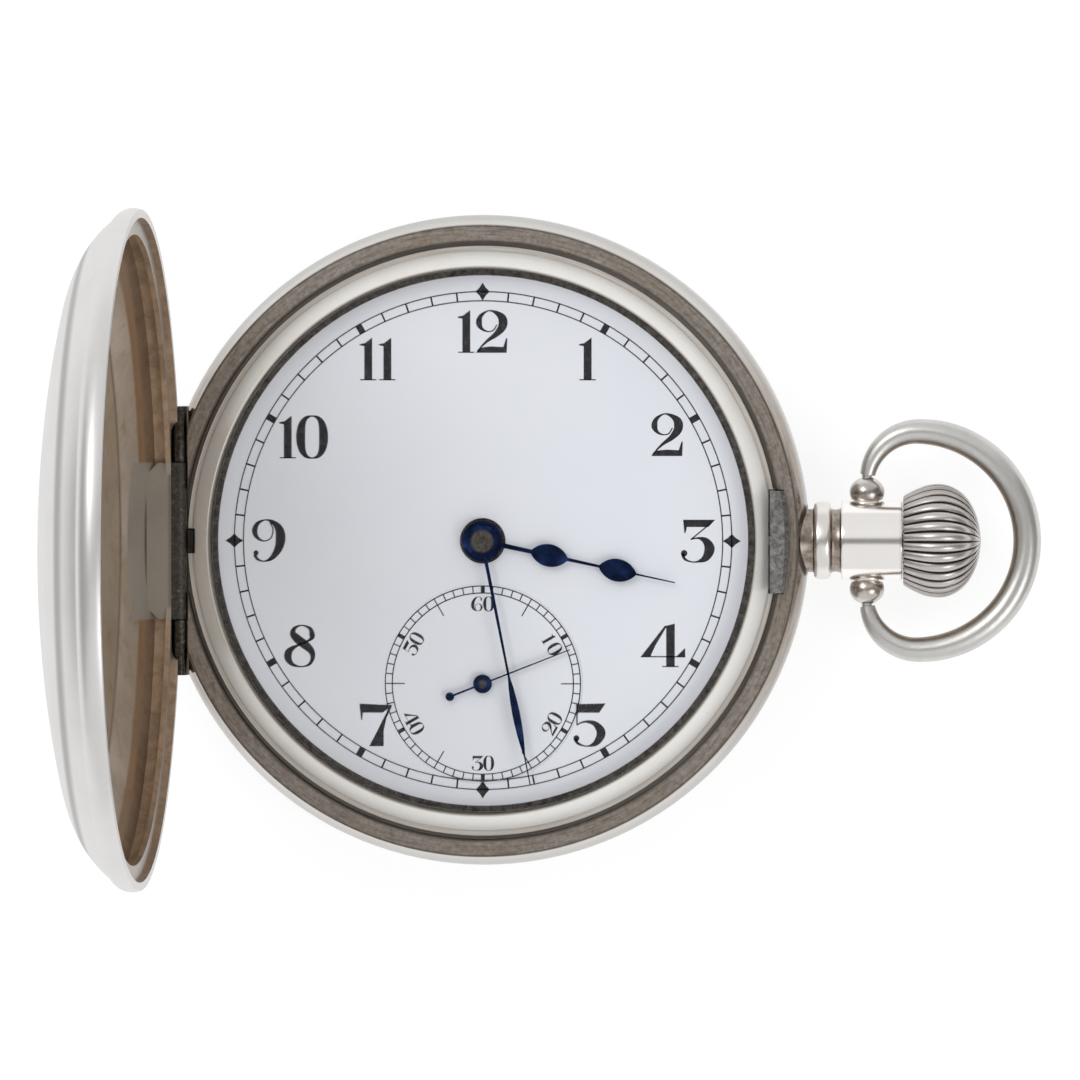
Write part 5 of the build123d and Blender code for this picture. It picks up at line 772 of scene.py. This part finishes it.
NINE = [
    (0.06, 0.93, 0.03), (0.13, 0.76, 0.03), (0.08, 0.56, 0.03), (-0.08, 0.49, 0.03), (-0.24, 0.57, 0.08),
    (-0.30, 0.73, 0.13), (-0.23, 0.90, 0.09), (-0.05, 0.985, 0.03), (0.13, 0.93, 0.1), (0.27, 0.78, 0.19),
    (0.31, 0.57, 0.23), (0.26, 0.32, 0.19), (0.11, 0.10, 0.11), (-0.07, 0.015, 0.03), (-0.23, 0.06, 0.06),
    (-0.30, 0.17, 0.08),
]
GLYPHS = {
    "0": {"rings": [oval()]},
    "1": {
        "blocks": [
            [(-0.092, 0.0), (0.092, 0.0), (0.092, 1.0), (-0.092, 0.86)],
            [(-0.092, 0.80), (-0.092, 0.87), (-0.20, 0.845), (-0.20, 0.82)],
            serif(-0.19, 0.19),
        ],
    },
    "2": {
        "strokes": [[
            (0.13, 0.66, 0.025), (0.05, 0.53, 0.03), (-0.08, 0.498, 0.03), (-0.22, 0.56, 0.07),
            (-0.29, 0.70, 0.14), (-0.24, 0.87, 0.09), (-0.06, 0.985, 0.03), (0.13, 0.93, 0.1),
            (0.26, 0.80, 0.2), (0.26, 0.62, 0.2), (0.12, 0.44, 0.13), (-0.08, 0.29, 0.07),
            (-0.23, 0.15, 0.04), (-0.31, 0.04, 0.03),
        ]],
        "blocks": [[(-0.36, 0.0), (0.36, 0.0), (0.375, 0.34), (0.345, 0.34), (0.28, 0.135), (0.0, 0.15),
                    (-0.2, 0.13), (-0.31, 0.09)]],
    },
    "3": {
        "strokes": [
            [(0.35, 0.95, 0.03), (0.1, 0.74, 0.03), (-0.15, 0.535, 0.03)],
            [(-0.15, 0.54, 0.03), (0.03, 0.57, 0.05), (0.2, 0.50, 0.16), (0.29, 0.32, 0.24),
             (0.2, 0.11, 0.17), (0.02, 0.02, 0.05), (-0.14, 0.015, 0.03), (-0.29, 0.08, 0.06),
             (-0.34, 0.2, 0.08)],
        ],
        "blocks": [
            [(-0.33, 1.0), (0.42, 1.0), (0.26, 0.83), (-0.25, 0.83)],
            [(-0.33, 1.0), (-0.30, 0.68), (-0.27, 0.70), (-0.24, 0.84)],
        ],
        "dots": [(-0.305, 0.215, 0.075)],
    },
    "4": {
        "blocks": [
            [(0.055, 0.0), (0.255, 0.0), (0.255, 1.02), (0.055, 0.965)],
            [(-0.54, 0.24), (-0.32, 0.24), (-0.2, 0.5), (0.06, 0.94), (0.06, 0.975), (0.02, 0.965)],
            [(-0.54, 0.228), (0.5, 0.228), (0.5, 0.256), (-0.54, 0.256)],
            [(0.29, 0.24), (0.5, 0.24), (0.5, 0.45)],
            serif(-0.035, 0.345),
        ],
    },
    "5": {
        "strokes": [[
            (-0.285, 0.51, 0.03), (-0.2, 0.56, 0.035), (-0.05, 0.59, 0.06), (0.15, 0.53, 0.13),
            (0.28, 0.33, 0.21), (0.17, 0.1, 0.14), (-0.04, 0.015, 0.03), (-0.25, 0.07, 0.06),
            (-0.33, 0.18, 0.08),
        ]],
        "blocks": [
            [(-0.30, 0.80), (0.235, 0.80), (0.385, 1.02), (-0.30, 1.0)],
            [(-0.30, 0.50), (-0.272, 0.50), (-0.272, 1.0), (-0.30, 1.0)],
        ],
        "dots": [(-0.3, 0.2, 0.07)],
    },
    "6": {"strokes": [[(-x, 1 - y, width) for x, y, width in NINE]], "dots": [(0.27, 0.79, 0.06)]},
    "7": {
        "blocks": [
            [(-0.40, 1.0), (0.37, 0.965), (0.15, 0.79), (-0.33, 0.79)],
            [(-0.40, 1.0), (-0.36, 0.62), (-0.335, 0.62), (-0.32, 0.8)],
            [(0.37, 0.965), (0.235, 0.66), (0.17, 0.37), (0.17, 0.0), (-0.17, 0.0), (0.0, 0.32),
             (0.15, 0.62), (0.31, 0.93)],
        ],
    },
    "8": {
        "rings": [[
            (0.28, 0.75, 0.13), (0.23, 0.91, 0.08), (0.04, 0.985, 0.03), (-0.13, 0.92, 0.08),
            (-0.17, 0.79, 0.15), (-0.06, 0.66, 0.2), (0.12, 0.52, 0.2), (0.26, 0.38, 0.15),
            (0.29, 0.22, 0.1), (0.21, 0.07, 0.06), (0.03, 0.015, 0.03), (-0.17, 0.06, 0.08),
            (-0.28, 0.19, 0.16), (-0.28, 0.34, 0.17), (-0.18, 0.45, 0.1), (-0.02, 0.53, 0.04),
            (0.14, 0.60, 0.04), (0.25, 0.67, 0.08),
        ]],
    },
    "9": {"strokes": [NINE], "dots": [(-0.27, 0.21, 0.06)]},
    "I": {"blocks": [[(-0.08, 0.0), (0.08, 0.0), (0.08, 1.0), (-0.08, 1.0)],
                     serif(-0.16, 0.16), serif(-0.16, 0.16, SERIF_TOP)]},
    "V": {"blocks": [[(-0.03, 0.0), (0.04, 0.0), (-0.18, 1.0), (-0.36, 1.0)],
                     [(0.0, 0.0), (0.04, 0.0), (0.34, 1.0), (0.29, 1.0)],
                     serif(-0.42, -0.1, SERIF_TOP), serif(0.2, 0.42, SERIF_TOP)]},
    "X": {"blocks": [[(0.18, 0.0), (0.36, 0.0), (-0.18, 1.0), (-0.36, 1.0)],
                     [(-0.34, 0.0), (-0.29, 0.0), (0.34, 1.0), (0.29, 1.0)],
                     serif(-0.43, -0.19), serif(0.11, 0.43),
                     serif(-0.42, -0.1, SERIF_TOP), serif(0.2, 0.42, SERIF_TOP)]},
}


def smooth_line(points, closed, steps=LINE_STEPS):
    """Points of a smooth line through the given ones, with the width carried along."""
    count = len(points)
    spans = count if closed else count - 1
    line = []

    def at(index):
        if closed:
            return Vector(points[index % count])
        return Vector(points[min(max(index, 0), count - 1)])

    for span in range(spans):
        a, b, c, d = at(span - 1), at(span), at(span + 1), at(span + 2)
        for step in range(steps):
            t = step / steps
            line.append(0.5 * (2 * b + (c - a) * t + (2 * a - 5 * b + 4 * c - d) * t ** 2
                               + (3 * b - 3 * c + d - a) * t ** 3))
    if not closed:
        line.append(at(count - 1))
    return line


def add_face(build, corners):
    """One flat face."""
    build.faces.new([build.verts.new(corner) for corner in corners])


def add_stroke(build, points, closed, place):
    """A ribbon along a smooth line, as wide as the line says."""
    line = smooth_line(points, closed)
    count = len(line)
    edges = []
    for index, (x, y, width) in enumerate(line):
        before = line[(index - 1) % count] if closed or index else line[0]
        after = line[(index + 1) % count] if closed or index < count - 1 else line[-1]
        along = Vector((after[0] - before[0], after[1] - before[1])).normalized()
        side = Vector((-along.y, along.x)) * width / 2
        edges.append((build.verts.new(place(x + side.x, y + side.y)),
                      build.verts.new(place(x - side.x, y - side.y))))
    for index in range(count if closed else count - 1):
        left, right = edges[index]
        next_left, next_right = edges[(index + 1) % count]
        build.faces.new((right, next_right, next_left, left))


def add_dot(build, x, y, radius, place):
    """A round dot."""
    angles = [FULL_TURN * side / DOT_SIDES for side in range(DOT_SIDES)]
    add_face(build, [place(x + radius * cos(angle), y + radius * sin(angle)) for angle in angles])


def add_glyph(build, name, place):
    """One numeral or letter, put where the function place says."""
    glyph = GLYPHS[name]
    for corners in glyph.get("blocks", ()):
        add_face(build, [place(x, y) for x, y in corners])
    for points in glyph.get("strokes", ()):
        add_stroke(build, points, False, place)
    for points in glyph.get("rings", ()):
        add_stroke(build, points, True, place)
    for x, y, radius in glyph.get("dots", ()):
        add_dot(build, x, y, radius, place)


def placer(centre, height, turn, z, offset=0.0):
    """A function that takes a glyph's own coordinates to the dial."""
    across = Vector((cos(turn), sin(turn)))
    upward = Vector((-sin(turn), cos(turn)))

    def place(x, y):
        flat = Vector(centre[:2]) + height * ((x + offset) * across + (y - 0.5) * upward)
        return Vector((flat.x, flat.y, z))

    return place


def clock_point(centre, radius, share, z):
    """The point at a share of a turn, clockwise from twelve."""
    angle = pi / 2 - FULL_TURN * share
    return Vector((centre[0] + radius * cos(angle), centre[1] + radius * sin(angle), z))


def add_circle(build, centre, radius, width, z):
    """A thin printed circle."""
    rims = []
    for step in range(CIRCLE_STEPS):
        share = step / CIRCLE_STEPS
        rims.append((build.verts.new(clock_point(centre, radius - width / 2, share, z)),
                     build.verts.new(clock_point(centre, radius + width / 2, share, z))))
    for (inner, outer), (next_inner, next_outer) in zip(rims, rims[1:] + rims[:1]):
        build.faces.new((inner, outer, next_outer, next_inner))


def add_tick(build, centre, start, end, width, share, z):
    """A radial line of constant width."""
    near = clock_point(centre, start, share, z)
    far = clock_point(centre, end, share, z)
    side = (far - near).normalized().cross(Vector((0, 0, 1))) * width / 2
    add_face(build, [near - side, near + side, far + side, far - side])


def add_diamond(build, share, z):
    """A solid diamond with hollow sides on the outer circle."""
    half = DIAMOND_LENGTH / 2
    centre = clock_point((0, 0), MINUTE_OUTER_R, share, z)
    outward = (centre - Vector((0, 0, z))).normalized()
    side = outward.cross(Vector((0, 0, 1)))
    tips = [outward * half, side * DIAMOND_WIDTH / 2, -outward * half, -side * DIAMOND_WIDTH / 2]
    corners = []
    for tip, following in zip(tips, tips[1:] + tips[:1]):
        corners += [centre + tip, centre + (tip + following) / 2 * DIAMOND_WAIST]
    add_face(build, corners)


# Hour, distance of the numeral's middle from the dial's centre in millimetres, and its glyphs with offsets
DIAL_NUMERALS = (
    (12, 16.05, (("1", -0.383), ("2", 0.204))),
    (1, 16.1, (("1", 0.0),)),
    (2, 16.3, (("2", 0.0),)),
    (3, 16.45, (("3", 0.0),)),
    (4, 16.05, (("4", 0.0),)),
    (5, 16.35, (("5", 0.0),)),
    (7, 16.35, (("7", 0.0),)),
    (8, 16.2, (("8", 0.0),)),
    (9, 16.55, (("9", 0.0),)),
    (10, 15.9, (("1", -0.37), ("0", 0.204))),
    (11, 16.1, (("1", -0.225), ("1", 0.225))),
)


def minute_track(build):
    """Two circles, sixty ticks, thick fives and four diamonds."""
    z = DIAL_TOP + INK_LIFT
    for radius in (MINUTE_INNER_R, MINUTE_OUTER_R):
        add_circle(build, (0, 0), radius, LINE_WIDTH, z)
    for minute in range(MINUTES):
        share = minute / MINUTES
        if minute % 15 == 0:
            add_diamond(build, share, z)
        else:
            width = MINUTE_TICK_WIDTH if minute % 5 else FIVE_TICK_WIDTH
            add_tick(build, (0, 0), MINUTE_INNER_R, MINUTE_OUTER_R, width, share, z)


def hour_numerals(build):
    """Eleven upright numerals; the small dial takes six's place."""
    for hour, distance, glyphs in DIAL_NUMERALS:
        centre = clock_point((0, 0), distance * MM, hour / HOURS, 0)
        for glyph, offset in glyphs:
            add_glyph(build, glyph, placer(centre, NUMERAL_HEIGHT, 0, DIAL_TOP + INK_LIFT, offset))


def seconds_print(build):
    """The small dial's circles, ticks and radial numerals."""
    z = DIAL_TOP - SUB_SINK + INK_LIFT
    for radius in (SECOND_INNER_R, SECOND_OUTER_R):
        add_circle(build, SUB_CENTRE, radius, SECOND_LINE_WIDTH, z)
    for second in range(MINUTES):
        share = second / MINUTES
        width = SECOND_LINE_WIDTH if second % 10 else TEN_TICK_WIDTH
        start = LONG_TICK_R if second % 10 == 5 else SECOND_INNER_R
        add_tick(build, SUB_CENTRE, start, SECOND_OUTER_R, width, share, z)
    for index, digit in enumerate(SECOND_TENS):
        share = index / len(SECOND_TENS)
        low_half = 0.25 < share < 0.75
        centre = clock_point(SUB_CENTRE, SECOND_NUMERAL_R, share, 0)
        turn = -FULL_TURN * share + (pi if low_half else 0)
        for glyph, offset in ((digit, TEN_OFFSET), ("0", NOUGHT_OFFSET)):
            add_glyph(build, glyph, placer(centre, SECOND_NUMERAL_HEIGHT, turn, z, offset))


ROMANS = ("XII", "I", "II", "III", "IIII", "V", "VI", "VII", "VIII", "IX", "X", "XI")
ROMAN_WIDTHS = {"I": 0.36, "V": 0.8, "X": 0.84}


def lid_place():
    """A function from the closed lid's plan to its outer face as the lid now stands."""
    joint = joints["front_cover_close"]
    pivot = Vector(joint["pos_m"])
    opened = Matrix.Rotation(-radians(joint["range_deg"][1]), 4, Vector(joint["axis"]))
    move = Matrix.Translation(pivot) @ opened @ Matrix.Translation(-pivot)
    mesh = nodes["front_cover"].data
    tree = BVHTree.FromPolygons([v.co for v in mesh.vertices], [p.vertices for p in mesh.polygons])
    down = (opened @ Vector((0, 0, -1))).normalized()

    def place(point):
        start = move @ Vector((point.x, point.y, CLEAR_OF_LID))
        hit, *_ = tree.ray_cast(start, down)
        return hit - down * ROMAN_LIFT

    return place


def lid_ring(build):
    """The chapter ring round the window: two circles and Roman hours between them, tops outward."""
    for radius in (RING_INNER_R, RING_OUTER_R):
        add_circle(build, (0, 0), radius, RING_LINE_WIDTH, 0)
    for hour, word in enumerate(ROMANS):
        share = hour / HOURS
        centre = clock_point((0, 0), ROMAN_R, share, 0)
        total = sum(ROMAN_WIDTHS[letter] for letter in word)
        start = -total / 2
        for letter in word:
            offset = start + ROMAN_WIDTHS[letter] / 2
            start += ROMAN_WIDTHS[letter]
            add_glyph(build, letter, placer(centre, ROMAN_HEIGHT, -FULL_TURN * share, 0, offset))
    place = lid_place()
    for vertex in build.verts:
        vertex.co = place(vertex.co)


def along_profile(profile):
    """A smooth line through the points of a profile."""
    line = smooth_line([(*point, 0.0) for point in profile], False, PROFILE_STEPS)
    return [(point.x, point.y) for point in line]


def add_turned(build, profile, around, shape=None):
    """Faces turned about the stem's axis. The profile is a closed loop that doesn't cross the axis.

    Its points are (x, radius) or (x, radius, True), and shape gives a marked one's radius at an angle.
    """
    rings = []
    for x, radius, *marked in profile:
        ring = []
        for step in range(around):
            angle = FULL_TURN * step / around
            reach = shape(radius, angle) if marked else radius
            side, rise = reach * MM * cos(angle), reach * MM * sin(angle)
            ring.append(build.verts.new((x * MM, side, STEM_Z + rise)))
        rings.append(ring)
    for first, second in zip(rings, rings[1:] + rings[:1]):
        for step in range(around):
            after = (step + 1) % around
            build.faces.new((first[step], first[after], second[after], second[step]))


def crown_mesh(build):
    """Onion crown with round ribs and sharp grooves that run out at its end, hollow at the pendant."""
    floor = CROWN_START + CROWN_BORE_DEPTH
    profile = [(STEM_END, AXIS_R), (STEM_END, CROWN_STEM_R), (floor, CROWN_STEM_R), (floor, CROWN_BORE_R),
               (CROWN_START, CROWN_BORE_R)]
    for share, radius in along_profile(CROWN_PROFILE):
        profile.append((CROWN_START + share * (CROWN_END - CROWN_START), max(radius, AXIS_R), True))

    def ribbed(radius, angle):
        depth = RIB_DEPTH * min(1.0, radius / RIB_FULL_R)
        return radius - depth * (1 - abs(sin(angle * CROWN_RIBS / 2)) ** RIB_ROUNDNESS)

    add_turned(build, profile, CROWN_RIBS * RIB_STEPS, ribbed)


def pendant_mesh(build):
    """Neck, round collar, barrel and the two balls that hold the bow, round the stem's bore."""
    outside = along_profile(PENDANT_PROFILE)
    bore = [(outside[-1][0], PENDANT_BORE_R), (outside[0][0], PENDANT_BORE_R)]
    add_turned(build, outside + bore, PENDANT_STEPS)
    for side in (-1, 1):
        place = Matrix.Translation((EAR_PLACE[0], side * EAR_PLACE[1], STEM_Z))
        bmesh.ops.create_uvsphere(build, u_segments=EAR_SEGMENTS, v_segments=EAR_RINGS, radius=1.0,
                                  matrix=place @ Matrix.Diagonal((*EAR_RADII, 1.0)))


# Materials of the CAD nodes
dress(bow_silver(), "bow")
dress(band_silver(), "case_band")
dress(bezel_silver(), "bezel")
dress(cover_silver("lid_silver", LID_CENTRE, "YZ", hinged=True), "front_cover")
dress(cover_silver("back_silver", BACK_CENTRE, "XY"), "back_cover")
dress(cover_silver("dust_silver", DUST_CENTRE, "XY"), "dust_cover")
dress(ring_silver(), "window_ring")
dress(clear_glass(), "crystal", "window_glass")
dress(white_enamel(), "dial")
dress(worn_catch(), "catch")
dress(
    flat_steel("dark_steel", lightness=-0.36, rough=0.4, mottle=0.6),
    "lift_spring", "lock_spring", "front_hinge_pin", "back_hinge_pin",
)
dress(
    flat_steel("clean_steel", lightness=0.9, rough=0.24, mottle=0.25),
    "pendant_sleeve", "bridge_screws", "case_screws", "click_screw", "regulator", "winding_pinion",
    "release_collar", "stem", "clutch", "setting_lever", "yoke", "crown_wheel_screw", "barrel_arbor",
    "ratchet_screw", "click", "setting_wheel", "minute_wheel", "mainspring", "pallet_fork", "escape_wheel",
)
dress(blued_steel("blued_hair"), "hairspring")
dress(blued_steel("blued_hour"), "hour_hand")
dress(blued_steel("blued_minute", middle("cannon_pinion")), "minute_hand")
dress(blued_steel("blued_seconds", SUB_MIDDLE, eye=0.3), "seconds_hand")
dress(ruby(), "jewels", "pallet_stones", "roller")
# The main plate's rim, seen in the gap round the dial, gets painted shade.
dress(gilt("gilt_shaded_edge", dirt_and_shade=PLATE_RIM_SHADE), "main_plate")
dress(gilt("gilt_bridge"), "barrel_bridge", "train_bridge", "balance_cock", "pallet_cock")
for wheel in ("barrel", "barrel_cover", "centre_wheel", "third_wheel", "fourth_wheel", "cannon_pinion",
              "balance_wheel"):
    dress(gilt("gilt_" + wheel, middle(wheel)), wheel)
# The hour wheel's pipe at the hub, in the dial's hole, gets painted shade.
dress(gilt("gilt_hour_wheel", (0.0, 0.0), HUB_SHADE), "hour_wheel")
for wheel in ("ratchet_wheel", "crown_wheel", "transmission_wheel"):
    dress(flat_steel("snailed_" + wheel, lightness=0.9, rough=0.22, mottle=0.2), wheel)

# Pendant and crown
pendant = new_piece("pendant_turned", pendant_mesh, pendant_silver(), "case", smooth=True)
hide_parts("pendant")
crown = new_piece("crown_ribbed", crown_mesh, crown_silver(), "crown", smooth=True)
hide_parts("crown")

# Print
black = ink("dial_ink", (0.018, 0.018, 0.024))
new_piece("minute_track", minute_track, black, "case")
new_piece("hour_numerals", hour_numerals, black, "case")
new_piece("seconds_print", seconds_print, black, "case")
new_piece("lid_chapter_ring", lid_ring, ink("lid_ink", (0.01, 0.012, 0.05)), "front_cover")


def seen(tree):
    """One where a ray comes from the camera, a mirror or glass, zero where it gathers soft light."""
    path = tree.nodes.new("ShaderNodeLightPath")
    most = path.outputs["Is Camera Ray"]
    for ray in ("Is Glossy Ray", "Is Transmission Ray"):
        larger = tree.nodes.new("ShaderNodeMath")
        larger.operation = "MAXIMUM"
        tree.links.new(most, larger.inputs[0])
        tree.links.new(path.outputs[ray], larger.inputs[1])
        most = larger.outputs[0]
    return most


def floor_material():
    """Pale floor that reads as white and keeps a soft shadow. From below one sees through it."""
    material = bpy.data.materials.new("pale_floor")
    tree = emptied(material)
    lit = tree.nodes.new("ShaderNodeAddShader")
    tree.links.new(coloured(tree, "Emission", FLOOR_GLOW), lit.inputs[0])
    tree.links.new(coloured(tree, "BsdfDiffuse", FLOOR_SHADOW), lit.inputs[1])
    above = blend(tree, seen(tree), coloured(tree, "BsdfDiffuse", FLOOR_GREY), lit.outputs[0])
    side = tree.nodes.new("ShaderNodeNewGeometry")
    below = tree.nodes.new("ShaderNodeBsdfTransparent")
    output = tree.nodes.new("ShaderNodeOutputMaterial")
    one_way = blend(tree, side.outputs["Backfacing"], above, below.outputs[0])
    tree.links.new(one_way, output.inputs["Surface"])
    return material


def add_floor():
    """A square of floor under the watch."""
    half = FLOOR_SIZE / 2
    z = cad_box[0][2] - FLOOR_GAP
    mesh = bpy.data.meshes.new("floor")
    corners = [(-half, -half, z), (half, -half, z), (half, half, z), (-half, half, z)]
    mesh.from_pydata(corners, [], [(0, 1, 2, 3)])
    mesh.materials.append(floor_material())
    floor = linked("floor", mesh)


def grey_arch():
    """A grey arch over the table along X, so that metal which faces up or sideways isn't white."""
    corners = []
    for step in range(ARCH_STEPS + 1):
        angle = pi * step / ARCH_STEPS
        half = ARCH_TOP_HALF + (ARCH_FOOT_HALF - ARCH_TOP_HALF) * abs(cos(angle)) ** ARCH_FLARE
        corners += [(ARCH_RADIUS * cos(angle), side * half, ARCH_RADIUS * sin(angle)) for side in (-1, 1)]
    mesh = bpy.data.meshes.new("grey_arch")
    mesh.from_pydata(corners, [], [(2 * i, 2 * i + 1, 2 * i + 3, 2 * i + 2) for i in range(ARCH_STEPS)])
    material = bpy.data.materials.new("grey_card")
    tree = emptied(material)
    output = tree.nodes.new("ShaderNodeOutputMaterial")
    tree.links.new(coloured(tree, "Emission", ARCH_GREY), output.inputs["Surface"])
    mesh.materials.append(material)
    arch = linked("grey_arch", mesh)
    arch.visible_camera = False
    arch.visible_diffuse = False
    arch.visible_transmission = False
    arch.visible_shadow = False


def light_world():
    """An even pale room."""
    world = bpy.data.worlds.new("studio")
    bpy.context.scene.world = world
    tree = emptied(world)
    light, view = [coloured(tree, "Background", grey) for grey in (ROOM_LIGHT, ROOM_SEEN)]
    room = blend(tree, seen(tree), light, view)
    output = tree.nodes.new("ShaderNodeOutputWorld")
    tree.links.new(room, output.inputs["Surface"])


def area_light(name, place, size, power):
    """A soft box that faces the watch."""
    light = bpy.data.lights.new(name, "AREA")
    light.shape = "SQUARE"
    light.size = size
    light.energy = power
    lamp = linked(name, light)
    lamp.location = place
    lamp.rotation_euler = (AIM - Vector(place)).to_track_quat("-Z", "Y").to_euler()


def add_camera():
    """The camera over the dial, a little towards the crown and twelve."""
    data = bpy.data.cameras.new("camera")
    data.sensor_width = SENSOR_MM
    data.lens = SENSOR_MM * CAMERA_DISTANCE / FRAME_WIDTH
    data.clip_start = CLIP_START
    camera = linked("camera", data)
    away = Vector((tan(radians(CAMERA_TILT_X)), tan(radians(CAMERA_TILT_Y)), 1.0)).normalized()
    camera.location = AIM + away * CAMERA_DISTANCE
    right = Vector((0, 1, 0)).cross(away).normalized()
    up = away.cross(right)
    camera.rotation_euler = Matrix((right, up, away)).transposed().to_euler()
    bpy.context.scene.camera = camera


add_floor()
grey_arch()
light_world()
for lamp_facts in LAMPS:
    area_light(*lamp_facts)
add_camera()
bpy.context.scene.view_settings.view_transform = "Standard"
